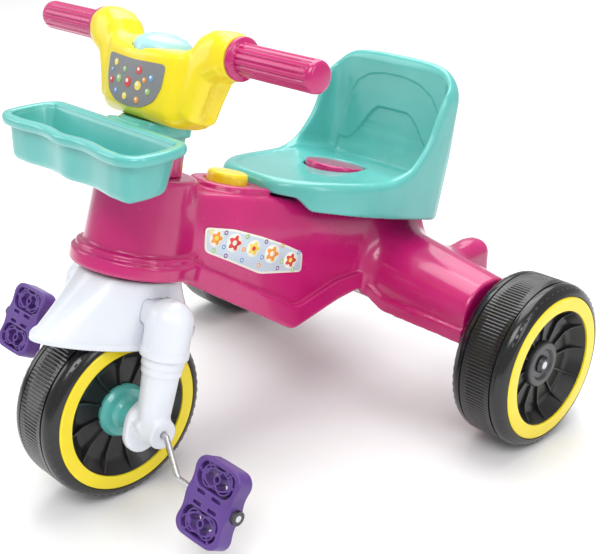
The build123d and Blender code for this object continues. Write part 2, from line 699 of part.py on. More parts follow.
def horn():
    """Sprung dome on top of the handlebar."""
    radius = (DOME_R ** 2 + DOME_H ** 2) / (2 * DOME_H)
    ball = Pos(0, NOSE_Y, HOUSE_TOP + DOME_H - radius) * Sphere(radius)
    cap = ball & post(DOME_R, HOUSE_TOP - 6, HOUSE_TOP + 30, 0, NOSE_Y)
    stalk = post(6.0, SHELF_Z + BUTTON_TRAVEL + 1, HOUSE_TOP - 5, 0, NOSE_Y)
    save("horn_button", steered(cap + stalk))
    save("horn_spring", steered(coil(0, NOSE_Y, SHELF_Z, HOUSE_TOP - 6, 9.0)))


# ---------------------------------------------------------------- crank and pedals
PEDAL_W = 28.0           # half width across the rider's foot
PEDAL_L = 38.0           # half length along the foot
PEDAL_T = 20.0
PEDAL_TILT = 60.0        # the plates hang this far below straight ahead
CRANK_END = PEDAL_X + PEDAL_W + 4.0


def crank_offset(side):
    a = radians(CRANK_ANGLE)
    return (-side * CRANK_THROW * cos(a), -side * CRANK_THROW * sin(a))


def crank():
    """One bent rod: pedal journal, slanted arm, axle, slanted arm, pedal journal."""
    ly, lz = crank_offset(1)
    points = [(CRANK_END, ly, lz), (ELBOW_X, ly, lz), (BOSS_X + 4, 0, 0), (-BOSS_X - 4, 0, 0),
              (-ELBOW_X, -ly, -lz), (-CRANK_END, -ly, -lz)]
    path = FilletPolyline(*points, radius=9.0)
    solid = sweep(Plane(origin=points[0], z_dir=(-1, 0, 0)) * Circle(CRANK_R), path=path)
    save("pedal_crank", Pos(0, FRONT_Y, TYRE_R) * solid)
    near = PEDAL_X + PEDAL_W + GAP
    left = pipe(near, CRANK_END, 6.5, CRANK_R, *crank_offset(1))
    right = pipe(-CRANK_END, -near, 6.5, CRANK_R, *crank_offset(-1))
    save("pedal_push_nuts", [Pos(0, FRONT_Y, TYRE_R) * left, Pos(0, FRONT_Y, TYRE_R) * right])


def pedal_solid():
    """Pedal about its own journal: rounded frame, slotted bridge and looped windows."""
    frame = extrude(RectangleRounded(2 * PEDAL_W, 2 * PEDAL_L, 13.0), PEDAL_T / 2, both=True)
    for sy in (1, -1):
        window = Pos(0, sy * 21.0, 0) * extrude(RectangleRounded(46, 22, 8.0), 20, both=True)
        frame -= window
        for dx in (-13.0, 0.0, 13.0):
            loop = Cylinder(11.6, 5.0) - Cylinder(9.4, 8.0)
            frame += Pos(dx, sy * 21.0, 0) * loop & window
    for sx in (1, -1):
        for y in (-22.0, 0.0, 22.0):
            frame -= Pos(sx * (PEDAL_W + 8.0), y, 0) * Cylinder(10.0, PEDAL_T + 2)
    frame -= extrude(RectangleRounded(26, 8, 3.0), 20, both=True) - rod(-20, 20, 5.5)
    frame -= rod(-PEDAL_W - 2, PEDAL_W + 2, CRANK_R + RUN)
    return frame


def pedals():
    solid = pedal_solid()
    for name, side in (("left", 1), ("right", -1)):
        y, z = crank_offset(side)
        at = Pos(side * PEDAL_X, FRONT_Y + y, TYRE_R + z)
        save(f"pedal_{name}", at * Rot(PEDAL_TILT, 0, 0) * solid)


def main():
    body_shell()
    deck_button()
    seat()
    side_stickers()
    mudguard(fork())
    stem_sleeve()
    basket()
    handlebar()
    grips()
    dash_panel()
    horn()
    front_wheel()
    crank()
    pedals()
    rear_axle()
    rear_wheel("left", 1)
    rear_wheel("right", -1)


main()
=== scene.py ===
import json
import math

import bmesh
import bpy
import numpy as np
from mathutils import Matrix, Vector


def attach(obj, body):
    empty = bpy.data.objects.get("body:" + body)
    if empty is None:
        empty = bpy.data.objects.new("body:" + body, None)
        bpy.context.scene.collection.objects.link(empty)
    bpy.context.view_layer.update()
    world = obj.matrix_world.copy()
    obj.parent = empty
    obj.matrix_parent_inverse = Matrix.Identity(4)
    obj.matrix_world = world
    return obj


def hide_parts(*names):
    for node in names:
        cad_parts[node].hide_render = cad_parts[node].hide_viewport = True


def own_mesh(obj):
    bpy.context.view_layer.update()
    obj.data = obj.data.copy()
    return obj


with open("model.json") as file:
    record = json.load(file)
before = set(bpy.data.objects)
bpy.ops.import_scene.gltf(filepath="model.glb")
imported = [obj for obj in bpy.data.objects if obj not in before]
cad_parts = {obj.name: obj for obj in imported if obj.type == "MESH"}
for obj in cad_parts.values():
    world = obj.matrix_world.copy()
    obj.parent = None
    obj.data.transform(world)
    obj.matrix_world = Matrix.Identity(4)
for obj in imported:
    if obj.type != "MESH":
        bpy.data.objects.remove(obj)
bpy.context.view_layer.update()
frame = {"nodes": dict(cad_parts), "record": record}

# Lengths in this script are millimetres until a mesh is written, which is in metres.
MM = 0.001
FRONT_Y = -177.0
REAR_Y = 177.0
AXLE_Z = 86.0
STEERING_TILT = math.radians(15.5)
SIN = math.sin(STEERING_TILT)
COS = math.cos(STEERING_TILT)
STEM_BORE = 18.1  # hole of the pieces clamped to the steerer tube
GRIP_W = 337.0  # height of the handlebar's tubes along the steering axis
GRIP_BORE = 8.1
BUTTON_V = 96.0  # the deck button's distance behind the steering axis
PAD_V = 245.0  # the round pad that shows through the seat's hole
SEAT_SCREW_U = 34.0
SEAT_SCREW_V = (200, 305)
SIDES = (("left", 1), ("right", -1))
FLOOR_SIZE = 12.0  # metres


# ---- frames
def to_row(u, v, w):
    """Steering frame (x, rearward, up the steering axis; origin at the front axle) to the row frame."""
    return u, FRONT_Y + v * COS + w * SIN, AXLE_Z - v * SIN + w * COS


def level(x, y, z):
    """The row frame is kept as it is."""
    return x, y, z


# ---- signed distance fields
def smin(a, b, k):
    """Union of two fields with a fillet of about k."""
    h = np.clip(0.5 + 0.5 * (b - a) / k, 0.0, 1.0)
    return b + (a - b) * h - k * h * (1.0 - h)


def smax(a, b, k):
    """Intersection of two fields with an edge rounded by about k."""
    return -smin(-a, -b, k)


def ramp(x, x0, x1):
    """0 before x0, 1 after x1, smooth between."""
    t = np.clip((x - x0) / (x1 - x0), 0.0, 1.0)
    return t * t * (3.0 - 2.0 * t)


def inset(points, r):
    """Closed outline moved inwards by r; the points go round anticlockwise or clockwise."""
    pts = [np.array(p, float) for p in points]
    area = sum(p[0] * q[1] - p[1] * q[0] for p, q in zip(pts, pts[1:] + pts[:1]))
    turn = 1.0 if area > 0 else -1.0
    out = []
    for i, p in enumerate(pts):
        d0 = p - pts[i - 1]
        d1 = pts[(i + 1) % len(pts)] - p
        n0 = turn * np.array((-d0[1], d0[0])) / np.hypot(*d0)
        n1 = turn * np.array((-d1[1], d1[0])) / np.hypot(*d1)
        out.append(tuple(p + r * (n0 + n1) / (1.0 + n0 @ n1)))
    return out


def round_profile(points, r, steps=4):
    """Closed outline with every corner cut by a small arc of about r."""
    out = []
    n = len(points)
    for i in range(n):
        p = Vector(points[i])
        a, b = Vector(points[i - 1]), Vector(points[(i + 1) % n])
        cut = min(r, 0.45 * (a - p).length, 0.45 * (b - p).length)
        p0, p1 = p + (a - p).normalized() * cut, p + (b - p).normalized() * cut
        for k in range(steps + 1):
            t = k / steps
            out.append(tuple(p0 * (1 - t) ** 2 + p * 2 * t * (1 - t) + p1 * t * t))
    return out


def polygon(u, v, points, r=0.0):
    """Distance to a closed outline whose convex corners are rounded by r."""
    pts = inset(points, r) if r else points
    best = None
    flips = None
    for (ax, ay), (bx, by) in zip(pts, pts[-1:] + pts[:-1]):
        ex, ey = bx - ax, by - ay
        wx, wy = u - ax, v - ay
        t = np.clip((wx * ex + wy * ey) / (ex * ex + ey * ey), 0.0, 1.0)
        dist = (wx - ex * t) ** 2 + (wy - ey * t) ** 2
        above, below, left = v >= ay, v < by, ex * wy > ey * wx
        flip = (above & below & left) | (~above & ~below & ~left)
        best = dist if best is None else np.minimum(best, dist)
        flips = flip if flips is None else flips ^ flip
    return np.where(flips, -1.0, 1.0) * np.sqrt(best) - r


def slab(x, low, high):
    """Layer between two planes."""
    return np.abs(x - 0.5 * (low + high)) - 0.5 * (high - low)


def box(u, v, w, low, high, r):
    """Box between two corners with edges rounded by r."""
    q = [slab(a, lo, hi) + r for a, lo, hi in zip((u, v, w), low, high)]
    outside = np.sqrt(sum(np.maximum(a, 0.0) ** 2 for a in q))
    return outside + np.minimum(np.maximum(np.maximum(q[0], q[1]), q[2]), 0.0) - r


def drum(radius, along, r, low, high, k=0.0):
    """Cylinder from its radial distance and its place along the axis."""
    ends = slab(along, low, high)
    return smax(radius - r, ends, k) if k else np.maximum(radius - r, ends)


def capsule(u, v, w, a, b, ra, rb):
    """Tapered rod with round ends from a to b."""
    d = np.array(b, float) - np.array(a, float)
    t = np.clip(((u - a[0]) * d[0] + (v - a[1]) * d[1] + (w - a[2]) * d[2]) / (d @ d), 0.0, 1.0)
    gap = np.sqrt((u - a[0] - d[0] * t) ** 2 + (v - a[1] - d[1] * t) ** 2 + (w - a[2] - d[2] * t) ** 2)
    return gap - ra - (rb - ra) * t


# ---- from a field to a mesh
def net_points(values):
    """One point in every cell that the surface crosses, as cell indices plus fractions, and its number."""
    cells = tuple(n - 1 for n in values.shape)
    total = np.zeros((3,) + cells, np.float32)
    count = np.zeros(cells, np.float32)
    for axis in range(3):
        a = np.moveaxis(values, axis, 0)
        cross = (a[:-1] < 0) != (a[1:] < 0)
        t = np.where(cross, a[:-1] / np.where(cross, a[:-1] - a[1:], 1.0), 0.0)
        cross = np.moveaxis(cross, 0, axis)
        t = np.moveaxis(t, 0, axis)
        others = [k for k in range(3) if k != axis]
        for du in (0, 1):
            for dv in (0, 1):
                part = [slice(None)] * 3
                part[others[0]] = slice(du, du + cells[others[0]])
                part[others[1]] = slice(dv, dv + cells[others[1]])
                hit = cross[tuple(part)]
                total[axis] += t[tuple(part)]
                total[others[0]] += du * hit
                total[others[1]] += dv * hit
                count += hit
    active = count > 0
    number = np.full(cells, -1, np.int64)
    number[active] = np.arange(active.sum())
    place = np.argwhere(active) + (total[:, active] / count[active]).T
    return place, number


def net_faces(values, number):
    """Quads round every grid edge that the surface crosses, facing outwards."""
    quads = []
    for axis in range(3):
        u, v = (axis + 1) % 3, (axis + 2) % 3
        near = [slice(None)] * 3
        far = [slice(None)] * 3
        near[axis], far[axis] = slice(0, -1), slice(1, None)
        low, high = values[tuple(near)] < 0, values[tuple(far)] < 0
        for cross, order in ((low & ~high, 1), (high & ~low, -1)):
            at = np.argwhere(cross)
            inner = (at[:, u] > 0) & (at[:, u] < values.shape[u] - 1)
            inner &= (at[:, v] > 0) & (at[:, v] < values.shape[v] - 1)
            at = at[inner]
            corners = []
            for du, dv in ((1, 1), (0, 1), (0, 0), (1, 0))[::order]:
                cell = at.copy()
                cell[:, u] -= du
                cell[:, v] -= dv
                corners.append(number[cell[:, 0], cell[:, 1], cell[:, 2]])
            quads.append(np.stack(corners, 1))
    return np.concatenate(quads)


def settle(field, points, step):
    """Move the points onto the surface."""
    eps = 0.04 * step
    for _ in range(3):
        x, y, z = points.T
        value = field(x, y, z)
        slope = np.stack([field(x + eps, y, z) - field(x - eps, y, z),
                          field(x, y + eps, z) - field(x, y - eps, z),
                          field(x, y, z + eps) - field(x, y, z - eps)], 1) / (2 * eps)
        size = np.maximum((slope ** 2).sum(1), 0.05)
        move = np.clip(value / size, -0.5 * step, 0.5 * step)[:, None] * slope
        points = points - move
    return points


def moulded(name, field, low, high, step, place=to_row):
    """Object whose surface is field = 0 between two corners, meshed at step and put in place."""
    axes = [np.arange(a - 1.5 * step, b + 2.5 * step, step) for a, b in zip(low, high)]
    grid = np.meshgrid(*axes, indexing="ij", sparse=True)
    values = np.broadcast_to(field(*grid), [len(a) for a in axes]).astype(np.float32)
    at, number = net_points(values)
    points = settle(field, at * step + np.array([a[0] for a in axes]), step)
    x, y, z = place(*points.T)
    obj = built(name, (np.stack([x, y, z], 1) * MM).tolist(), net_faces(values, number).tolist())
    obj.data.shade_smooth()
    return obj


def link(name, data):
    obj = bpy.data.objects.new(name, data)
    bpy.context.scene.collection.objects.link(obj)
    return obj


def built(name, verts, faces):
    """Object from vertices in metres and their faces."""
    mesh = bpy.data.meshes.new(name)
    mesh.from_pydata(verts, [], faces)
    return link(name, mesh)


def polar(x, r, angle, aside=0.0):
    """Point about the X axis at radius r, moved aside from its radial line."""
    ca, sa = math.cos(angle), math.sin(angle)
    return x, r * ca - aside * sa, r * sa + aside * ca


def placed(point, at):
    """Point in metres after its offset."""
    return [(c + o) * MM for c, o in zip(point, at)]


def lathe(name, profile, segments, axis, at=(0, 0, 0), radius_at=None, angle=40):
    """Body of revolution from a closed (along, radius) outline; radius_at may change the radius by angle."""
    n = len(profile)
    verts = []
    for i in range(segments):
        a = 2 * math.pi * i / segments
        for along, r in profile:
            rr = radius_at(along, r, i) if radius_at else r
            x, y, z = polar(along, rr, a)
            verts.append(placed((x, y, z) if axis == "X" else (y, z, x), at))
    faces = []
    for i in range(segments):
        j = (i + 1) % segments
        for k in range(n):
            m = (k + 1) % n
            faces.append((i * n + k, j * n + k, j * n + m, i * n + m))
    obj = built(name, verts, faces)
    tidy_mesh(obj, angle)
    return obj


def tidy_mesh(obj, angle):
    """Weld, face outwards, shade smooth and keep edges sharper than angle crisp."""
    bm = bmesh.new()
    bm.from_mesh(obj.data)
    bmesh.ops.remove_doubles(bm, verts=bm.verts, dist=1e-6)
    bmesh.ops.dissolve_degenerate(bm, edges=bm.edges, dist=1e-7)
    bmesh.ops.recalc_face_normals(bm, faces=bm.faces)
    bm.to_mesh(obj.data)
    bm.free()
    obj.data.shade_smooth()
    obj.data.set_sharp_from_angle(angle=math.radians(angle))


# ---- materials
def new_material(name):
    mat = bpy.data.materials.new(name)
    mat.use_nodes = True
    nodes, links = mat.node_tree.nodes, mat.node_tree.links
    return mat, nodes, links, nodes["Principled BSDF"]


def set_inputs(node, values):
    for name, value in values.items():
        node.inputs[name].default_value = value


def noise(nodes, links, coords, scale, detail, rough):
    tex = nodes.new("ShaderNodeTexNoise")
    set_inputs(tex, {"Scale": scale, "Detail": detail, "Roughness": rough})
    links.new(coords.outputs["Object"], tex.inputs["Vector"])
    return tex


def uneven_gloss(nodes, links, shader, source, low, high):
    """Roughness that follows a noise between two values."""
    gloss = nodes.new("ShaderNodeMapRange")
    set_inputs(gloss, {"To Min": low, "To Max": high})
    links.new(source.outputs["Fac"], gloss.inputs["Value"])
    links.new(gloss.outputs["Result"], shader.inputs["Roughness"])


def plastic(name, deep, pale, roughness, coat, grain=0.05):
    """Moulded plastic: faint flow mottling in the colour, a fine skin and uneven gloss."""
    mat, nodes, links, shader = new_material(name)
    coords = nodes.new("ShaderNodeTexCoord")
    flow = noise(nodes, links, coords, 14.0, 3.0, 0.55)
    mix = nodes.new("ShaderNodeMix")
    mix.data_type = "RGBA"
    set_inputs(mix, {"A": (*deep, 1), "B": (*pale, 1)})
    spread = nodes.new("ShaderNodeMapRange")
    set_inputs(spread, {"From Min": 0.3, "From Max": 0.7})
    links.new(flow.outputs["Fac"], spread.inputs["Value"])
    links.new(spread.outputs["Result"], mix.inputs["Factor"])
    links.new(mix.outputs["Result"], shader.inputs["Base Color"])
    haze = noise(nodes, links, coords, 45.0, 4.0, 0.6)
    uneven_gloss(nodes, links, shader, haze, roughness * 0.8, roughness * 1.25)
    skin = noise(nodes, links, coords, 900.0, 2.0, 0.5)
    wave = noise(nodes, links, coords, 30.0, 1.0, 0.4)
    height = nodes.new("ShaderNodeMath")
    height.operation = "MULTIPLY_ADD"
    height.inputs[1].default_value = 12.0
    links.new(wave.outputs["Fac"], height.inputs[0])
    links.new(skin.outputs["Fac"], height.inputs[2])
    bump = nodes.new("ShaderNodeBump")
    set_inputs(bump, {"Strength": grain, "Distance": 0.0004})
    links.new(height.outputs["Value"], bump.inputs["Height"])
    links.new(bump.outputs["Normal"], shader.inputs["Normal"])
    set_inputs(shader, {"Coat Weight": coat, "Coat Roughness": 0.08})
    return mat


def metal(name, colour, roughness):
    """Plated steel with fine drawing marks."""
    mat, nodes, links, shader = new_material(name)
    coords = nodes.new("ShaderNodeTexCoord")
    marks = noise(nodes, links, coords, 500.0, 3.0, 0.6)
    uneven_gloss(nodes, links, shader, marks, roughness * 0.7, roughness * 1.4)
    tint = nodes.new("ShaderNodeValToRGB")
    tint.color_ramp.elements[0].color = (*[0.8 * c for c in colour], 1)
    tint.color_ramp.elements[1].color = (*colour, 1)
    links.new(marks.outputs["Fac"], tint.inputs["Fac"])
    links.new(tint.outputs["Color"], shader.inputs["Base Color"])
    shader.inputs["Metallic"].default_value = 1.0
    return mat


MATS = {
    "magenta_plastic": plastic("Magenta plastic", (0.47, 0.006, 0.125), (0.56, 0.010, 0.165), 0.25, 0.5),
    "teal_plastic": plastic("Teal plastic", (0.085, 0.43, 0.40), (0.12, 0.51, 0.475), 0.3, 0.6),
    "yellow_plastic": plastic("Yellow plastic", (0.86, 0.67, 0.003), (0.92, 0.74, 0.006), 0.3, 0.35),
    "white_plastic": plastic("White plastic", (0.70, 0.73, 0.79), (0.77, 0.80, 0.86), 0.3, 0.35),
    "pale_teal_plastic": plastic("Pale teal plastic", (0.33, 0.63, 0.68), (0.42, 0.71, 0.76), 0.3, 0.4),
    "grey_plastic": plastic("Grey plastic", (0.035, 0.037, 0.042), (0.055, 0.057, 0.062), 0.36, 0.15),
    "black_tyre": plastic("Black tyre", (0.004, 0.004, 0.005), (0.007, 0.007, 0.008), 0.2, 0.2, 0.05),
    "black_plastic": plastic("Black plastic", (0.005, 0.005, 0.006), (0.009, 0.009, 0.010), 0.32, 0.1),
    "purple_plastic": plastic("Purple plastic", (0.085, 0.032, 0.21), (0.115, 0.048, 0.27), 0.42, 0.12, 0.08),
    "steel": metal("Zinc plated steel", (0.66, 0.66, 0.67), 0.28),
    "sticker": plastic("Sticker film", (0.50, 0.60, 0.72), (0.60, 0.69, 0.78), 0.34, 0.3, 0.03),
}
PANEL_GREY = plastic("Panel film", (0.19, 0.19, 0.205), (0.24, 0.24, 0.255), 0.38, 0.2, 0.03)
# deep and pale tone of each printed colour
INK_TONES = {
    "red": ((0.62, 0.03, 0.03), (0.70, 0.05, 0.04)),
    "orange": ((0.86, 0.28, 0.02), (0.90, 0.34, 0.03)),
    "yellow": ((0.88, 0.66, 0.06), (0.92, 0.72, 0.10)),
    "green": ((0.26, 0.48, 0.12), (0.32, 0.54, 0.16)),
    "blue": ((0.12, 0.28, 0.55), (0.16, 0.34, 0.62)),
    "violet": ((0.20, 0.06, 0.26), (0.26, 0.09, 0.32)),
    "cream": ((0.82, 0.80, 0.70), (0.86, 0.84, 0.76)),
}
INK = {colour: plastic("Ink " + colour, *tones, 0.35, 0.2, 0.02) for colour, tones in INK_TONES.items()}


def finish_piece(obj, body, slot, *nodes, material=None):
    """Material, body, slot and the CAD nodes that the piece stands for."""
    obj.data.materials.clear()
    obj.data.materials.append(material or MATS[slot])
    if nodes:
        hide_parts(*nodes)
    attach(obj, body)
    return obj


# ---- body shell
TRUNK_W = 55.0
TAPER = 11.0  # the side panels close in by this much towards the column
TAPER_START, TAPER_RUN = 30.0, 140.0
HEAD_BORE = 18.3
BODY_WALL = 5.0
OPEN_DROP = 70.0  # the inner form reaches this far below the skirt, so the underside is open


def trunk_field(u, v, w, drop):
    """Deck, side panels and seat plinth; then the skirt's lip."""
    side_w = TRUNK_W - TAPER + TAPER * np.clip((v - TAPER_START) / TAPER_RUN, 0, 1)
    across = np.abs(u) - side_w
    bevel = (across * 27 + (w - 184) * 10) / 28.8
    profile = [(0, 134 - drop), (26, 130 - drop), (165, 81 - drop), (223, 110 - drop), (256, 122 - drop),
               (300, 124 - drop), (350, 124 - drop), (350, 201), (160, 211), (0, 211)]
    side = polygon(v, w, profile, 8.0)
    core = smax(side, smax(across, bevel, 6.0), 7.0)
    plinth = box(u, v, w, (-45, 152, 150), (45, 334, 226), 6.0)
    slope = (w - 211) * 0.7 - (v - 150) * 0.7
    core = smin(core, smax(plinth, slope, 4.0), 3.0)
    band = [(0, 134 - drop), (26, 130 - drop), (165, 81 - drop), (223, 110 - drop), (256, 122 - drop),
            (300, 124 - drop), (300, 146), (259, 141), (217, 131), (170, 107), (162, 106), (149, 111),
            (26, 151), (0, 151)]
    lip = smax(polygon(v, w, round_profile(band, 7.0)), across - 5.2, 1.6)
    return core, lip


def column_field(u, v, w, drop):
    """Head column, a cone on a stepped flange."""
    radius = np.sqrt(u * u + v * v)
    cone = smax(radius - 49 + 4 * (w - 134) / 88, slab(w, 134 - drop, 222), 4.0)
    flange = drum(radius, w, 58.0, 134 - drop, 148, 3.0)
    step = drum(radius, w, 54.0, 134 - drop, 153.5, 2.5)
    return smin(cone, np.minimum(flange, step), 2.5)


def arm_field(u, v, w, drop):
    """Rear arms, their lips and the tail humps."""
    _, y, z = to_row(u, v, w)
    x = np.abs(u)
    s = np.clip((x - 30) / 152, 0, 1)
    half, middle, top = 52 - 12 * s, 159 + 2 * s, 190 - 27 * s
    r = half - 6
    qy, qz = np.abs(y - middle) - half + r, z - top + r
    arch = np.hypot(np.maximum(qy, 0), np.maximum(qz, 0)) + np.minimum(np.maximum(qy, qz), 0) - r
    low = 118 - 10 * s + 13 * (1 - ramp(x, 54, 88)) - drop
    arm = smax(smax(arch, low - z, 1.5), x - 182, 3.0)
    lip = smax(smax(arch - 4.0, z - low - 15, 1.5), smax(low - z, x - 182, 1.5), 1.5)
    hump = box(x, y, z, (86, 180, 104 - drop), (120, 251, 166), 15.0)
    hump = smin(hump, np.sqrt((x - 103) ** 2 + ((y - 226) / 1.3) ** 2 + (z - 152) ** 2) - 15.5, 3.0)
    return arm, lip, hump


def hull_field(u, v, w, drop):
    """Outer form of the body; its open underside lies drop lower."""
    core, lip = trunk_field(u, v, w, drop)
    arm, arm_lip, hump = arm_field(u, v, w, drop)
    d = smin(core, arm, 22.0)
    d = smin(d, hump, 9.0)
    d = smin(d, lip, 1.0)
    d = smin(d, arm_lip, 1.5)
    d = smin(d, column_field(u, v, w, drop), 7.0)
    boss = drum(np.hypot(u, v - BUTTON_V), w, 35.0, 190, 217, 3.0)
    boss = smin(boss, box(u, v, w, (-35, 96, 190), (35, 124, 217), 3.0), 1.0)
    return smin(d, boss, 2.0)


def body_field(u, v, w):
    """Hollow shell with its head tube, seat pad, button cup, screw bosses, axle bosses and ribs."""
    d = np.maximum(hull_field(u, v, w, 0.0), -(hull_field(u, v, w, OPEN_DROP) + BODY_WALL))
    radius = np.hypot(u, v)
    _, y, z = to_row(u, v, w)
    d = np.minimum(d, drum(radius, w, 22.0, 134, 222))
    d = np.maximum(d, HEAD_BORE - radius)
    pad = drum(np.hypot(u, v - PAD_V), w, 31.5, 222, 241.6, 1.5)
    d = smin(d, pad, 1.5)
    button = np.hypot(u, v - BUTTON_V)
    d = np.minimum(d, drum(button, w, 25.0, 195, 216))
    d = np.maximum(d, -drum(button, w, 21.6, 198, 240))
    for screw_v in SEAT_SCREW_V:
        d = np.minimum(d, drum(np.hypot(np.abs(u) - SEAT_SCREW_U, v - screw_v), w, 6.0, 212, 225))
    axle = np.hypot(y - REAR_Y, z - AXLE_Z)
    tube = drum(axle, np.abs(u), 13.0, 150, 182, 1.0)
    ribs = np.minimum(slab(np.abs(u), 150, 153), slab(np.abs(u), 52, 55))
    ribs = np.maximum(ribs, np.maximum(np.abs(y - REAR_Y) - 13, slab(z, 86, 160)))
    hanger = drum(axle, np.abs(u), 13.0, 49, 55, 1.0)
    d = np.minimum(np.minimum(d, tube), np.minimum(ribs, hanger))
    return np.maximum(d, 4.15 - axle)


def body_shell():
    obj = moulded("BodyShell", body_field, (-184, -60, 60), (184, 420, 242), 2.0)
    finish_piece(obj, "frame", "magenta_plastic", "body_shell")


# ---- deck button and stickers
def deck_button():
    profile = round_profile([(206, 17), (206, 20.4), (223, 20.0), (226.2, 18.6), (226.5, 0.01), (223, 0.01),
                             (223, 17)], 1.6)
    obj = lathe("DeckButton", profile, 96, "Z")
    place_steered(obj, (0, BUTTON_V, 0))
    finish_piece(obj, "deck_button_body", "yellow_plastic", "deck_button")


def place_steered(obj, offset=(0, 0, 0)):
    """Mesh written in the steering frame is moved to the row frame."""
    x, y, z = [c * MM for c in to_row(*offset)]
    obj.data.transform(Matrix(((1, 0, 0, x), (0, COS, SIN, y), (0, -SIN, COS, z), (0, 0, 0, 1))))


def plate(name, outline, thick, r=0.3):
    """Flat plate in its own plane with softened edges; z is the outward side."""
    n = len(outline)
    rings = [(outline, 0.0), (outline, thick - r), (inset(outline, r), thick)]
    verts = [(x * MM, y * MM, z * MM) for points, z in rings for x, y in points]
    faces = [tuple(range(n - 1, -1, -1)), tuple(range(2 * n, 3 * n))]
    for k in range(2):
        for i in range(n):
            j = (i + 1) % n
            faces.append((k * n + i, k * n + j, (k + 1) * n + j, (k + 1) * n + i))
    obj = built(name, verts, faces)
    tidy_mesh(obj, 50)
    return obj


def petals(radius, lobes, depth, steps=48):
    """Outline of a flower with soft petals."""
    points = []
    for k in range(steps):
        a = 2 * math.pi * k / steps
        r = radius + depth * math.cos(lobes * a)
        points.append((r * math.cos(a), r * math.sin(a)))
    return points


def circle(radius, steps=32):
    return [(radius * math.cos(2 * math.pi * k / steps), radius * math.sin(2 * math.pi * k / steps))
            for k in range(steps)]


def join(name, objs):
    """One mesh from several, materials kept."""
    bpy.ops.object.select_all(action="DESELECT")
    for o in objs:
        o.select_set(True)
    bpy.context.view_layer.objects.active = objs[0]
    bpy.ops.object.join()
    objs[0].name = name
    return objs[0]


def stickers():
    """Pale film with a white border, generic flowers and rings."""
    outline = round_profile([(9, 182), (43, 181), (77, 175), (107, 168), (133, 160), (136, 140), (83, 138),
                             (44, 150), (13, 159)], 5.0, 5)
    flowers = [(24, 172, 6.6, "orange", "yellow"), (46, 168, 7.6, "red", "cream"),
               (70, 163, 6.8, "yellow", "red"), (94, 158, 7.8, "orange", "cream"),
               (119, 152, 7.0, "red", "yellow")]
    rings = [(34, 177.5, "violet"), (60, 174.5, "green"), (84, 170, "violet"), (105, 166.5, "orange"),
             (23, 160.5, "green"), (38, 155.5, "violet"), (58, 151.5, "blue"), (80, 146.5, "orange"),
             (104, 143.8, "violet"), (124, 142.4, "green"), (16, 178, "yellow"), (128, 160, "blue"),
             (108, 150.5, "green"), (34, 164, "blue"), (58, 162, "orange"), (82, 154.5, "blue")]
    for name, side in SIDES:
        x_dir = Vector((TAPER, TAPER_RUN * COS, -TAPER_RUN * SIN)).normalized()
        z_dir = Vector((TAPER_RUN, -TAPER * COS, TAPER * SIN)).normalized()
        y_dir = z_dir.cross(x_dir)
        origin = Vector(to_row(TRUNK_W - TAPER, TAPER_START, 0)) * MM
        matrix = Matrix.Translation(origin) @ Matrix((x_dir, y_dir, z_dir)).transposed().to_4x4()
        if side < 0:
            matrix = Matrix.Diagonal((-1, 1, 1, 1)) @ matrix
        pieces = []

        def layer(tag, shape, height, material, at=(0, 0)):
            obj = plate(tag, [(x + at[0], y + at[1]) for x, y in shape], height, 0.05)
            obj.data.materials.append(material)
            obj.data.transform(matrix)
            pieces.append(obj)

        base = plate("Sticker_" + name, outline, 0.25, 0.08)
        base.data.transform(matrix)
        finish_piece(base, "frame", "sticker", "side_sticker_" + name, material=INK["cream"])
        layer("field", inset(outline, 2.0), 0.30, MATS["sticker"])
        for x, y, r, petal, heart in flowers:
            layer("halo", circle(r + 1.6), 0.32, INK["cream"], (x, y))
            layer("flower", petals(r * 0.82, 5, r * 0.2), 0.35, INK[petal], (x, y))
            layer("heart", circle(r * 0.34), 0.38, INK[heart], (x, y))
        for x, y, colour in rings:
            layer("ring", circle(2.3), 0.345, INK[colour], (x, y))
            layer("eye", circle(1.0), 0.37, INK["cream"], (x, y))
        art = join("StickerArt_" + name, pieces)
        tidy_mesh(art, 50)
        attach(art, "frame")


# ---- seat
def seat_plan(rear):
    """Half of the seat's outline in (x, v), from its front to a rear end."""
    return round_profile([(-30, 119), (36, 119), (65, 150), (84, 205), (88.3, 252), (88.3, rear),
                          (-30, rear)], 36.0, 6)


SEAT_PLAN = seat_plan(341)
OPEN_PLAN = seat_plan(420)
CREASE = 1.5  # depth of each recess
SEAT_WALL = 4.5


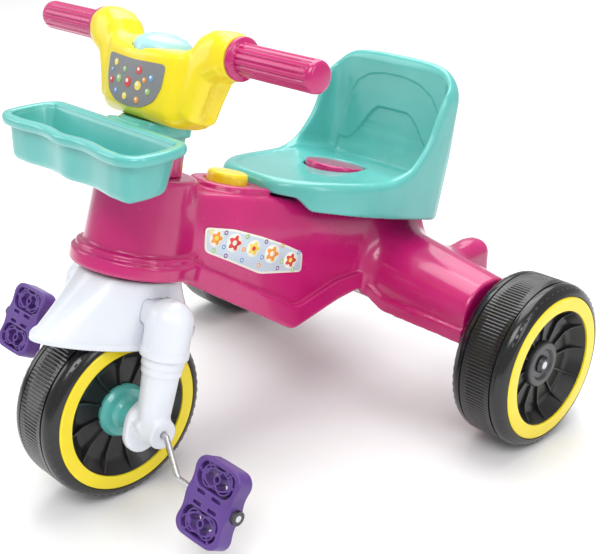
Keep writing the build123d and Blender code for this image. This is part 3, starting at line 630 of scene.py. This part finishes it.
def seat_field(u, v, w):
    """Hollow bucket with a skirt, a dished pan and back, and a round hole in the pan."""
    x = np.abs(u)
    plan = polygon(x, v, SEAT_PLAN)
    profile = [(114, 170), (114, 228), (215, 237), (244, 242), (262, 252), (273, 266), (284, 286), (290, 318),
               (300, 352), (306, 362), (313, 366.5), (320, 361), (324, 318), (331, 280), (341, 236),
               (340.5, 222), (334, 206), (324, 198), (324, 170)]
    side = polygon(v, w, round_profile(profile, 12.0))
    front = polygon(x, w, round_profile([(-40, 150), (112, 150), (112, 280), (94, 330), (70, 359), (34, 367),
                                         (-40, 367)], 34.0, 6))
    mass = smax(smax(plan, side, 9.0), front, 9.0)
    back = polygon(v, w, [(60, 244.5), (328.5, 244.5), (322.5, 280), (315.5, 318), (306.5, 352), (301, 400),
                          (60, 400)])
    bowl = smax(plan + 7.5, back, 16.0)
    d = smax(mass, -bowl, 6.0)
    # recessed panel: over the pan and up the back under a wide arch, with a lower bell-shaped one inside it
    open_plan = polygon(x, v, OPEN_PLAN) + 14.0
    arch = polygon(x, w, [(-40, 100), (75, 100), (74, 255), (70, 290), (64, 312), (53, 328), (36, 338),
                          (14, 342), (-40, 342)])
    panel = np.maximum(open_plan, arch)
    bell = w - 262 - 43 * (1 - ramp(x, 18, 66))
    facing = ramp(334.7 - 0.2 * (w - 244) - v, -1.0, 1.0) * ramp(w, 222, 226)
    d = d + facing * CREASE * (1 - ramp(panel, -1.2, 0.8))
    d = d + facing * CREASE * (1 - ramp(np.maximum(bell, panel), -1.2, 1.0)) * ramp(w, 243, 262)
    under = polygon(v, w, [(60, 150), (60, 219), (117, 222.5), (215, 231.5), (248, 238.5), (332, 238.5),
                           (332, 222), (325, 205), (315, 199), (315, 150)])
    d = np.maximum(d, -np.maximum(plan + SEAT_WALL, under))
    edge = 214 - 11 * ramp(v, 138, 156)
    d = smax(d, edge - w, 2.5)
    d = smax(d, -drum(np.hypot(u, v - PAD_V), w, 33.0, 200, 300), 1.5)
    for screw_v in SEAT_SCREW_V:
        d = np.minimum(d, drum(np.hypot(x - SEAT_SCREW_U, v - screw_v), w, 6.0, 226.5, 234))
    return d


def seat():
    obj = moulded("BucketSeat", seat_field, (-89, 112, 200), (89, 343, 368), 1.9)
    finish_piece(obj, "frame", "teal_plastic", "seat")


# ---- fork and mudguard
LEG_X = 64.0
LEG_R = 21.3


def fork_field(u, v, w):
    """Two domed legs with stepped bands, their feet, the crown and the steerer tube."""
    x = np.abs(u)
    r = np.hypot(x - LEG_X, v)
    leg = drum(r, w, LEG_R, 77, 100, 1.0)
    dome = np.sqrt((x - LEG_X) ** 2 + v ** 2 + (w - 100) ** 2) - LEG_R
    band = drum(r, w, 22.3, 68.5, 76.5, 1.2)
    neck = drum(r, w, 19.3, 60, 69, 1.0)
    step = drum(r, w, 18.2, 53, 61, 1.5)
    shank = smax(r - 14.6 - 2.6 * np.clip(w / 56, 0, 1), slab(w, -4, 56), 2.0)
    d = np.minimum(np.minimum(leg, dome), smin(band, neck, 1.0))
    d = smin(d, smin(step, shank, 2.5), 1.5)
    d = smax(d, 42.3 - x - 100 * ramp(w, 88, 93), 1.5)
    axle = np.hypot(v, w)
    boss = drum(axle, x, 14.0, 48, 82, 2.0)
    collar = drum(axle, x, 11.0, 48, 78, 1.0)
    skirt = np.hypot(v, np.minimum(w + 8, 0.0) + np.maximum(w - 2, 0.0))
    web = drum(skirt, x, 20.0, 48, 55.5, 2.0)
    d = smin(d, smin(smin(boss, collar, 1.0), web, 3.5), 5.0)
    for a in (35, 145):
        vv, ww = 17 * math.cos(math.radians(a)), 17 * math.sin(math.radians(a)) - 6
        d = smin(d, drum(np.hypot(v - vv, w - ww), x, 4.0, 55, 66, 1.0), 1.5)
    radius = np.hypot(u, v)
    bridge = box(u, v, w, (-LEG_X, -17, 93), (LEG_X, 17, 115), 6.0)
    d = smin(d, smin(drum(radius, w, 42.0, 112, 128, 2.0), bridge, 5.0), 4.0)
    d = smax(d, -(np.sqrt((x - 62) ** 2 + (v + 4) ** 2 + (w - 124.5) ** 2) - 6.0), 1.5)
    d = np.minimum(d, drum(radius, w, 18.0, 127, 284))
    d = np.maximum(d, -drum(radius, w, 15.0, 131, 300))
    return np.maximum(d, 3.15 - axle)


def fork():
    obj = moulded("Fork", fork_field, (-84, -44, -31), (84, 44, 285), 1.8)
    finish_piece(obj, "steering", "white_plastic", "fork")


MUDGUARD_LOW = 67.5
MUDGUARD_WALL = 3.3
LIP_OUT = 2.4


def cape_field(u, v, w, t, low, edge=1.0):
    """Flared cover: round under the body's flange, long and pointed at the lip; t is the inset."""
    s = np.clip((130 - w) / 58, 0, 1)
    a = 45.5 - t - 1.0 * s
    b = 47 + 41 * s ** 1.15 - t
    c = -1 - 5 * s
    n = 2.0 - 0.32 * s
    ring = ((np.abs(u) / a) ** n + (np.abs(v - c) / b) ** n) ** (1 / n) - 1
    size = 1 / np.sqrt((np.abs(u) / a + 0.02) ** 2 / a ** 2 + (np.abs(v - c) / b + 0.02) ** 2 / b ** 2)
    d = ring * np.clip(size, 10, 90)
    return smax(d, slab(w, low, 130.5 - t), edge)


def mudguard_field(u, v, w):
    """Cover with a rolled lip, cut round the fork and open for its crown."""
    outer = cape_field(u, v, w, 0.0, MUDGUARD_LOW, 3.0)
    lip = smax(cape_field(u, v, w, -LIP_OUT, MUDGUARD_LOW), w - 73.5, 2.0)
    d = smin(outer, lip, 1.5)
    d = np.maximum(d, -cape_field(u, v, w, MUDGUARD_WALL, 20.0))
    gap = fork_field(u, v, w) - 0.25
    d = np.maximum(d, -gap)
    return np.maximum(d, 43.0 - np.hypot(u, v) - 200 * (w < 111))


def mudguard():
    obj = moulded("Mudguard", mudguard_field, (-50, -98, 66), (50, 90, 132), 1.4)
    finish_piece(obj, "steering", "white_plastic", "mudguard")


# ---- stem and basket
def stem_sleeve():
    profile = round_profile([(222.6, 18.05), (222.6, 30), (244.8, 29.2), (244.8, 18.05)], 0.8)
    obj = lathe("StemSleeve", profile, 96, "Z")
    place_steered(obj)
    finish_piece(obj, "steering", "magenta_plastic", "stem_sleeve")


BASKET_PLAN = round_profile([(-40, -33), (6, -33), (20, -30), (34, -29), (48, -31), (62, -33.2), (86, -33),
                             (101, -24), (104, 2), (101, 22), (92, 33.2), (76, 33.2), (-40, 33.2)], 14.0)
BASKET_Y = -176.0
BASKET_FLOOR = 310.0
BASKET_WALL = 3.0


def basket_field(x, y, z):
    """Tapered basket with a turned-down rim, and the ring that holds it to the stem."""
    fall = np.clip((352 - z) / 42, 0, 1)
    plan = polygon(np.abs(x), y - BASKET_Y + 8 * fall, BASKET_PLAN)
    wall = plan + 6.5 + 7.0 * fall
    outer = smax(wall, BASKET_FLOOR - z, 8.0)
    outer = np.maximum(outer, z - 350)
    inner = smax(wall + BASKET_WALL, BASKET_FLOOR + BASKET_WALL - z, 8.0)
    rim_plan = polygon(np.abs(x), y - BASKET_Y, BASKET_PLAN)
    rim = smax(rim_plan, slab(z, 342.8, 352), 4.0)
    under = np.maximum(rim_plan + 2.8, slab(z, 330, 348.8))
    rim = np.maximum(rim, -under)
    d = smin(outer, rim, 1.5)
    v, w = (y - FRONT_Y) * COS - (z - AXLE_Z) * SIN, (y - FRONT_Y) * SIN + (z - AXLE_Z) * COS
    radius = np.hypot(x, v)
    ring = smin(drum(radius, w, 28.0, 245, 259, 1.0), drum(radius, w, 32.0, 258, 268.6, 2.0), 1.5)
    tongue = box(x, v, w, (-22, -38, 245), (22, 0, 266), 2.0)
    d = smin(d, smin(ring, tongue, 2.0), 1.5)
    mouth = smax(inner, z - 420, 1.0)
    d = smax(d, -mouth, 3.0)
    return np.maximum(d, -drum(radius, w, STEM_BORE, 230, 290))


def basket():
    obj = moulded("Basket", basket_field, (-104, -212, 306), (104, -72, 356), 1.5, level)
    finish_piece(obj, "steering", "teal_plastic", "basket")


# ---- handlebar
BAR_OUTLINE = [(-20, 270), (53, 270), (66, 276.5), (72, 296), (78, 312), (91, 320), (94, 328), (94, 346),
               (86, 356), (70, 356), (57, 349), (47, 336), (41, 331), (-20, 331)]
BAR_END = 94.0
DOME_V = -5.0  # the horn dome sits this far in front of the steering axis
DOME_BASE = 331.0
SEAM_DEPTH = 0.7


def nose_front(u, w):
    """How far forward the bulging front of the housing stands."""
    return 34.5 - 4.5 * (u / 42) ** 2 - 5.0 * ramp(285 - w, 0, 16) ** 2


def handlebar_field(u, v, w):
    """Housing and ears as one form, with the seam, the dome's well, screw holes and tube sockets."""
    x = np.abs(u)
    ears = smax(polygon(x, w, BAR_OUTLINE, 5.0), np.abs(v + 2) - 20, 17.0)
    nose = smax(x - 50 + 0.06 * (331 - w), slab(w, 270, 331), 7.0)
    nose = smax(nose, smax(-v - nose_front(u, w), v - 26, 4.0), 9.0)
    d = smin(ears, nose, 9.0)
    scoop = capsule(x, v, w, (76, 1, 284), (81, 1, 305), 12.0, 12.0)
    d = smax(d, -scoop, 3.0)
    tube = np.hypot(v, w - GRIP_W)
    rim = drum(tube, x, 19.0, 80, BAR_END, 2.0)
    d = smin(d, rim, 5.0)
    d = np.maximum(d, x - BAR_END)
    well = drum(np.hypot(u, v - DOME_V), w, 27.6, 315, 345)
    d = smax(d, -well, 1.2)
    seam = np.maximum(np.abs(v) - 0.5 * SEAM_DEPTH, -d - SEAM_DEPTH)
    d = smax(d, -seam, 0.4)
    d = np.maximum(d, -drum(tube, x, GRIP_BORE, 60, 120))
    for screw_x, screw_w, screw_v in ((40, 282, 20), (75, 322, 12)):
        d = smax(d, -drum(np.hypot(x - screw_x, w - screw_w), v, 3.4, screw_v, 60), 0.6)
    return np.maximum(d, -drum(np.hypot(u, v), w, STEM_BORE, 260, 280))


def handlebar():
    obj = moulded("HandlebarCovers", handlebar_field, (-95, -37, 269), (95, 27, 357), 1.4)
    finish_piece(obj, "steering", "yellow_plastic", "handlebar_front_cover", "handlebar_rear_cover")


def horn_button():
    """Low dome with fine rings on it."""
    steps = 16
    profile = []
    for k in range(steps + 1):
        a = math.radians(90 - 85 * k / steps)
        ridge = 0.35 * math.cos(math.radians(90) * k) if k > 2 else 0.0
        profile.append((DOME_BASE + 13.0 * math.sin(a) + ridge, max(26.6 * math.cos(a), 0.01)))
    profile += [(DOME_BASE, 26.8), (DOME_BASE - 6, 26.8), (DOME_BASE - 6, 0.01)]
    obj = lathe("HornButton", profile, 128, "Z", angle=50)
    place_steered(obj, (0, DOME_V, 0))
    finish_piece(obj, "horn_button_body", "pale_teal_plastic", "horn_button")


def bent_panel(name, outline, thick, material, height=0.0):
    """Plate bent round the housing's front; outline is in (x, w)."""
    bm = bmesh.new()
    ring = [bm.verts.new((x * MM, 0, w * MM)) for x, w in outline]
    bm.faces.new(ring)
    bmesh.ops.triangulate(bm, faces=bm.faces[:])
    for _ in range(3):
        long_edges = [e for e in bm.edges if e.calc_length() > 4.0 * MM]
        if long_edges:
            bmesh.ops.subdivide_edges(bm, edges=long_edges, cuts=1)
            bmesh.ops.triangulate(bm, faces=bm.faces[:])
    for vert in bm.verts:
        u, w = vert.co.x / MM, vert.co.z / MM
        vert.co.y = -(nose_front(u, w) + 0.1 + height + thick) * MM
    out = bmesh.ops.extrude_face_region(bm, geom=bm.faces[:])
    for vert in [g for g in out["geom"] if isinstance(g, bmesh.types.BMVert)]:
        vert.co.y += thick * MM
    mesh = bpy.data.meshes.new(name)
    bm.to_mesh(mesh)
    bm.free()
    obj = link(name, mesh)
    tidy_mesh(obj, 45)
    place_steered(obj)
    obj.data.materials.append(material)
    return obj


def dash_panel():
    """Grey shield with generic dots in place of any lettering."""
    outline = round_profile([(-39, 319.5), (0, 318), (39, 319.5), (38, 300), (32, 287), (18, 279.5),
                             (0, 277.5), (-18, 279.5), (-32, 287), (-38, 300)], 5.0, 5)
    face = bent_panel("DashPanel", outline, 0.7, PANEL_GREY)
    finish_piece(face, "steering", "grey_plastic", "dash_panel", material=PANEL_GREY)
    dots = [(-25, 312, 3.0, "yellow"), (-10, 308, 2.4, "green"), (10, 310, 3.4, "red"),
            (26, 306, 2.8, "blue"), (-29, 296, 3.0, "red"), (-17, 299, 3.6, "green"), (-3, 298, 4.4, "red"),
            (11, 297, 4.0, "yellow"), (24, 294, 2.8, "green"), (-19, 288, 2.6, "blue"),
            (-5, 285.5, 3.0, "yellow"), (12, 285, 2.8, "orange"), (-30, 305, 2.0, "blue"),
            (18, 303, 2.2, "orange")]
    pieces = []
    for x, w, r, colour in dots:
        dot = [(x + a, w + b) for a, b in circle(r, 24)]
        eye = [(x + a - 0.25 * r, w + b + 0.25 * r) for a, b in circle(0.42 * r, 16)]
        pieces.append(bent_panel("dot", dot, 0.5, INK[colour], 0.55))
        pieces.append(bent_panel("eye", eye, 0.3, INK["cream"], 0.9))
    art = join("DashDots", pieces)
    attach(art, "steering")


def grips():
    flutes, steps = 16, 12

    def fluted(along, r, i):
        if 99.5 < abs(along) < 181.0 and r > 11:
            phase = (i % steps) / steps
            return r - 1.3 * max(0.0, math.cos(2 * math.pi * phase)) ** 2
        return r

    outline = [(94, GRIP_BORE), (94, 17.6), (95, 18.4), (97.6, 18.4), (98.6, 17.4), (99.2, 14.6), (100, 13.6),
               (101, 13.5)]
    outline += [(101 + 78 * k / 8, 13.5) for k in range(1, 9)]
    outline += [(181.5, 13.5), (184, 13.1), (186, 11.8), (186.9, 9.8), (187, 0.01), (182, 0.01),
                (181, GRIP_BORE)]
    for name, side in SIDES:
        obj = lathe("Grip_" + name, [(side * a, r) for a, r in outline], flutes * steps, "X",
                    radius_at=fluted, angle=55)
        place_steered(obj, (0, 0, GRIP_W))
        finish_piece(obj, "steering", "magenta_plastic", "grip_" + name)


# ---- wheels
TYRE_R = 86.0
TYRE_BORE = 66.9
RIM_R = 66.8
FRONT_HALF, REAR_HALF = 31.0, 32.0  # half the tyres' widths
REAR_X = 221.0
CRANK_BORE = 3.05


def tyre_profile(half):
    """Section of a tyre: flat tread, a groove on each side of it, round shoulders and a ring seat."""
    right = [(0, TYRE_R), (half - 15.0, TYRE_R), (half - 14.6, 84.6), (half - 13.4, 84.5),
             (half - 12.8, 85.7)]
    for k in range(1, 9):
        a = math.radians(90 - 90 * k / 9)
        right.append((half - 12 + 12 * math.cos(a), 74 + 12 * math.sin(a)))
    right += [(half, 75.6), (half - 3, 75.4), (half - 3, TYRE_BORE)]
    left = [(-x, r) for x, r in right[1:]]
    return right + left[::-1]


def tyre(name, node, half, at, body):
    """Blow-moulded tyre with fine cross ribs in the tread and dashes on the shoulders."""
    ribs, depth, cuts = 150, 0.75, 4

    def ribbed(along, r, i):
        in_groove = abs(along) < half - 15.5 and r > TYRE_R - 0.1 and i % 3 == 0
        return r - depth if in_groove else r

    profile = tyre_profile(half)
    section = []
    for (x0, r0), (x1, r1) in zip(profile, profile[1:] + profile[:1]):
        section.append((x0, r0))
        if abs(x1 - x0) > 8 and min(r0, r1) > 85.5:
            section += [(x0 + (x1 - x0) * k / cuts, TYRE_R) for k in range(1, cuts)]
    obj = lathe(name, section, ribs * 3, "X", at, radius_at=ribbed, angle=35)
    finish_piece(obj, body, "black_tyre", node)
    shoulder_dashes(name + "_dashes", half, at, body)


def shoulder_dashes(name, half, at, body):
    """Raised dashes round both shoulders, each a thin block sunk into the tyre."""
    count, turn = 60, 0.022
    corners = [(-2.6, 0.9, -turn), (2.6, -1.5, -turn), (2.6, -1.5, turn), (-2.6, 0.9, turn)]
    verts, faces = [], []
    for side in (1, -1):
        for k in range(count):
            middle = 2 * math.pi * k / count
            base = len(verts)
            for lift in (-0.8, 0.35):
                for dx, dr, da in corners:
                    verts.append(placed(polar(side * (half - 6.2 + dx), 84.2 + dr + lift, middle + da), at))
            faces += [(base + 4, base + 5, base + 6, base + 7), (base + 3, base + 2, base + 1, base)]
            faces += [(base + i, base + (i + 1) % 4, base + 4 + (i + 1) % 4, base + 4 + i) for i in range(4)]
    marks = built(name, verts, faces)
    tidy_mesh(marks, 40)
    finish_piece(marks, body, "black_tyre")


def trim_ring(name, node, half, side, at, body, inner):
    """Ring that stands slightly proud of the tyre's side."""
    profile = round_profile([(half - 2.95, inner), (half + 0.5, inner), (half + 0.7, inner + 1.2),
                             (half + 0.75, 73.4), (half - 0.2, 74.9), (half - 2.95, 74.9)], 0.6)
    obj = lathe(name, [(side * x, r) for x, r in profile], 160, "X", at)
    finish_piece(obj, body, "yellow_plastic", node)


def dish(name, node, half, sides, at, body, bore, depth, rim_in):
    """Rim with a conical ribbed dish in each open face."""
    pieces = []
    web = half - 3 - depth
    section = round_profile([
        (half - 3.0, RIM_R), (half - 1.2, RIM_R), (half - 1.2, rim_in), (half - 2.4, rim_in - 1.0),
        (web + 2.5, 52.0), (web + 0.5, 47.0), (web, 30.0), (web, bore), (web - 3.0, bore), (web - 3.0, 46),
        (web - 1.0, 53.5), (half - 6.0, 64.8), (half - 6.0, RIM_R)], 1.2)
    for side in sides:
        pieces.append(lathe("dish", [(side * x, r) for x, r in section], 144, "X", at, angle=50))
        for k in range(12):
            pieces.append(rib(side, web, half, 2 * math.pi * k / 12, at, rim_in))
    band = [(half - 3.0, RIM_R), (3.0 - half, RIM_R), (3.0 - half, 63.5), (half - 3.0, 63.5)]
    pieces.append(lathe("barrel", band, 96, "X", at))
    low, high = -web, web
    if sides == (1,):
        low = 5.0 - half
    if sides == (-1,):
        high = half - 5.0
    hub = round_profile([(low, bore), (low, 13), (high, 13), (high, bore)], 0.5)
    pieces.append(lathe("hub", hub, 64, "X", at))
    if len(sides) == 1:
        for k in range(6):
            pieces.append(spoke(-sides[0] * (half - 6.0), sides[0] * web, 2 * math.pi * k / 6, at))
    obj = join(name, pieces)
    tidy_mesh(obj, 45)
    finish_piece(obj, body, "black_plastic", node)


def spoke(x0, x1, angle, at):
    """Straight stiffening wall between hub and barrel, seen from the open inner face."""
    t = 1.3
    verts = []
    for x in (x0, x1):
        for r, aside in ((12, -t), (64, -t), (64, t), (12, t)):
            verts.append(placed(polar(x, r, angle, aside), at))
    faces = [(0, 1, 2, 3), (7, 6, 5, 4), (0, 4, 5, 1), (1, 5, 6, 2), (2, 6, 7, 3), (3, 7, 4, 0)]
    return built("spoke", verts, faces)


def rib(side, web, half, angle, at, rim_in):
    """Radial rib that follows the dish from the hub disc to the rim."""
    line = [(web - 0.5, 24.0, web + 2.2, 26.0), (web - 0.5, 44.0, web + 3.4, 44.0),
            (web + 1.5, 52.0, web + 6.6, 51.0), (half - 4.2, rim_in - 1.0, half - 2.6, rim_in - 2.2)]
    foot, crest = 1.7, 0.9
    verts = []
    for x0, r0, x1, r1 in line:
        for x, r, aside in ((x0, r0, -foot), (x1, r1, -crest), (x1, r1, crest), (x0, r0, foot)):
            verts.append(placed(polar(side * x, r, angle, aside), at))
    faces = [(0, 1, 2, 3), (15, 14, 13, 12)]
    for k in range(3):
        for i in range(4):
            j = (i + 1) % 4
            faces.append((4 * k + i, 4 * k + j, 4 * k + 4 + j, 4 * k + 4 + i))
    return built("rib", verts, faces)


def front_wheel():
    at = (0, FRONT_Y, AXLE_Z)
    half = FRONT_HALF
    ring_in = 62.0
    tyre("TyreFront", "front_tyre", half, at, "front_wheel")
    dish("RimFront", "front_rim", half, (1, -1), at, "front_wheel", CRANK_BORE, 10.0, ring_in)
    profile = round_profile([(18, CRANK_BORE), (18, 26), (21.5, 26), (23, 25), (25, 23.5), (26.2, 23),
                             (26.2, 16), (30, 12.5), (38, 11.0), (47.4, 9.5), (47.4, CRANK_BORE)], 0.8)
    for name, side in SIDES:
        trim_ring("TrimFront_" + name, "front_ring_" + name, half, side, at, "front_wheel", ring_in)
        hub = lathe("HubFront_" + name, [(side * x, r) for x, r in profile], 96, "X", at)
        finish_piece(hub, "front_wheel", "teal_plastic", "front_hub_" + name)


def rear_wheels():
    half = REAR_HALF
    ring_in, depth = 60.5, 14.0
    web = half - 3 - depth
    profile = round_profile([(web, 4.1), (web, 24), (web + 4.4, 24), (web + 6.0, 22.6), (web + 6.2, 17),
                             (web + 4.6, 15.4), (web + 3.2, 14.6), (web + 3.0, 10), (web + 3.0, 4.1)], 0.7)
    for name, side in SIDES:
        at = (side * REAR_X, REAR_Y, AXLE_Z)
        body = "rear_wheel_" + name
        tyre("TyreRear_" + name, "rear_tyre_" + name, half, at, body)
        dish("RimRear_" + name, "rear_rim_" + name, half, (side,), at, body, 4.08, depth, ring_in)
        trim_ring("TrimRear_" + name, "rear_ring_" + name, half, side, at, body, ring_in)
        disc = lathe("HubDisc_" + name, [(side * x, r) for x, r in profile], 96, "X", at)
        finish_piece(disc, body, "grey_plastic", "rear_hub_disc_" + name)


# ---- pedals
def pedal_field(x, y, z):
    """Pedal about its own journal: wavy sides, two windows with scroll work and a slotted bridge."""
    wave = 0.9 * np.cos(2 * math.pi * y / 25.4)
    edge = smax(np.abs(x) - 26.9 - wave, np.abs(y) - 35.0, 12.0)
    block = smax(edge, np.abs(z) - 9.6 + 0.05 * np.abs(x), 2.0)
    px, py = np.abs(x), np.abs(y)
    window = box(x, py, z, (-22, 8.8, -20), (22, 31, 20), 9.0)
    d = smax(block, -window, 1.5)
    oval = np.hypot(px / 1.95, py - 20.0)
    trace = np.abs(oval - 8.2) * 1.35 - 1.0
    for cx, cy, r in ((8.5, 20.0, 9.5), (17.0, 25.0, 5.5), (0.0, 20.0, 3.4)):
        trace = np.minimum(trace, np.abs(np.hypot(px - cx, py - cy) - r) - 0.9)
    trace = np.maximum(trace, np.abs(z) - 6.5)
    trace = np.maximum(trace, box(x, py, z, (-23.5, 7, -20), (23.5, 33, 20), 9.0))
    d = smin(d, trace, 1.0)
    slots = np.abs(px - 9.5) - 5.2
    slots = np.maximum(slots, slab(py, 3.6, 6.6))
    d = np.maximum(d, -np.maximum(slots, 5.0 - np.abs(z)))
    groove = np.maximum(slab(px, 23.4, 24.4), np.maximum(8.2 - np.abs(z), py - 31))
    d = np.maximum(d, -groove)
    barrel = drum(np.hypot(y, z), x, 6.0, -28, 28, 1.5)
    d = smin(d, barrel, 1.5)
    return np.maximum(d, 3.1 - np.hypot(y, z))


def pedals():
    """Pedals on the crank's journals, half a turn apart."""
    throw, angle = 26.0, math.radians(59)
    back, down = throw * math.cos(angle), throw * math.sin(angle)
    tilt = Matrix.Rotation(math.radians(60), 4, "X")
    for name, side in SIDES:
        at = Vector((side * 166, FRONT_Y - side * back, AXLE_Z - side * down)) * MM
        obj = moulded("Pedal_" + name, pedal_field, (-29, -39, -11), (29, 39, 11), 0.8, level)
        obj.data.transform(Matrix.Translation(at) @ tilt)
        finish_piece(obj, "pedal_%s_body" % name, "purple_plastic", "pedal_" + name)


# ---- springs
def coil_spring(name, node, body, v, low, high):
    """Wire coil under a button."""
    radius, wire, turns, travel = 9.0, 0.7, 5, 3.0
    around, steps = 8, 48 * turns
    rise = high - low - 2 * wire
    verts, faces = [], []
    for i in range(steps + 1):
        a = 2 * math.pi * turns * i / steps
        w = low + wire + rise * i / steps
        for k in range(around):
            b = 2 * math.pi * k / around
            r = radius + wire * math.cos(b)
            verts.append([r * math.cos(a) * MM, r * math.sin(a) * MM, (w + wire * math.sin(b)) * MM])
    for i in range(steps):
        for k in range(around):
            j = (k + 1) % around
            faces.append((i * around + k, i * around + j, (i + 1) * around + j, (i + 1) * around + k))
    faces += [tuple(range(around - 1, -1, -1)), tuple(range(steps * around, (steps + 1) * around))]
    obj = built(name, verts, faces)
    tidy_mesh(obj, 60)
    place_steered(obj, (0, v, 0))
    finish_piece(obj, body, "steel", node)
    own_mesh(obj)


def springs():
    coil_spring("HornSpring", "horn_spring", "steering", DOME_V, 315, 325)
    coil_spring("DeckButtonSpring", "deck_button_spring", "frame", BUTTON_V, 198, 223)


# ---- CAD nodes that stay
def carried_over():
    """The metal and inner pieces keep their CAD shape and get the detailed materials."""
    dark = metal("Blued spring steel", (0.10, 0.10, 0.11), 0.4)
    slots = {s["node"]: s["material_slot"] for s in frame["record"]["subparts"]}
    for node, obj in frame["nodes"].items():
        material = dark if "push_nuts" in node else MATS[slots[node]]
        if not obj.material_slots:
            obj.data.materials.append(material)
        for held in obj.material_slots:
            held.material = material


# ---- stage
def floor():
    half = FLOOR_SIZE / 2
    corners = [(-half, -half, 0), (half, -half, 0), (half, half, 0), (-half, half, 0)]
    obj = built("Floor", corners, [(0, 1, 2, 3)])
    mat, nodes, links, shader = new_material("Floor")
    coords = nodes.new("ShaderNodeTexCoord")
    tone = noise(nodes, links, coords, 1.2, 2.0, 0.5)
    tint = nodes.new("ShaderNodeValToRGB")
    tint.color_ramp.elements[0].color = (0.90, 0.90, 0.905, 1)
    tint.color_ramp.elements[1].color = (0.93, 0.93, 0.93, 1)
    links.new(tone.outputs["Fac"], tint.inputs["Fac"])
    links.new(tint.outputs["Color"], shader.inputs["Base Color"])
    set_inputs(shader, {"Roughness": 0.55, "Specular IOR Level": 0.25})
    obj.data.materials.append(mat)


def area_light(name, place, target, size, power):
    """Rectangular light that faces its target; metres and watts."""
    data = bpy.data.lights.new(name, "AREA")
    data.shape = "RECTANGLE"
    data.size, data.size_y = size
    data.energy = power
    obj = link(name, data)
    obj.location = place
    obj.rotation_euler = (Vector(target) - Vector(place)).to_track_quat("-Z", "Y").to_euler()


def lights():
    target = (0, 0, 0.2)
    area_light("Key", (0.9, -1.2, 1.9), target, (1.2, 0.9), 20)
    area_light("Side", (1.9, 0.1, 1.2), target, (0.5, 1.4), 7)
    area_light("Fill", (-1.6, -1.2, 1.2), target, (0.8, 1.2), 7)
    area_light("Top", (-0.2, 0.3, 2.2), target, (1.6, 1.6), 30)
    area_light("Back", (-1.4, 1.8, 2.4), (-1.2, 1.5, 0), (2.4, 2.4), 40)
    world = bpy.data.worlds.new("Studio")
    world.use_nodes = True
    set_inputs(world.node_tree.nodes["Background"], {"Color": (1.0, 1.0, 1.0, 1), "Strength": 0.55})
    bpy.context.scene.world = world


def camera():
    """View of the front and the rider's left, from slightly above."""
    azimuth, elevation = math.radians(45.916), math.radians(23.808)
    ca, sa, ce, se = math.cos(azimuth), math.sin(azimuth), math.cos(elevation), math.sin(elevation)
    right = Vector((ca, sa, 0))
    back = Vector((sa * ce, -ca * ce, se))
    up = back.cross(right)
    data = bpy.data.cameras.new("Camera")
    data.lens = 64.72
    data.sensor_width = 36.0
    data.clip_end = 50.0
    obj = link("Camera", data)
    matrix = Matrix((right, up, back)).transposed().to_4x4()
    matrix.translation = (0.7572, -0.6618, 0.6030)
    obj.matrix_world = matrix
    bpy.context.scene.camera = obj


carried_over()
body_shell()
deck_button()
stickers()
seat()
fork()
mudguard()
stem_sleeve()
basket()
handlebar()
horn_button()
dash_panel()
grips()
front_wheel()
rear_wheels()
pedals()
springs()
floor()
lights()
camera()
bpy.context.scene.view_settings.view_transform = "Standard"
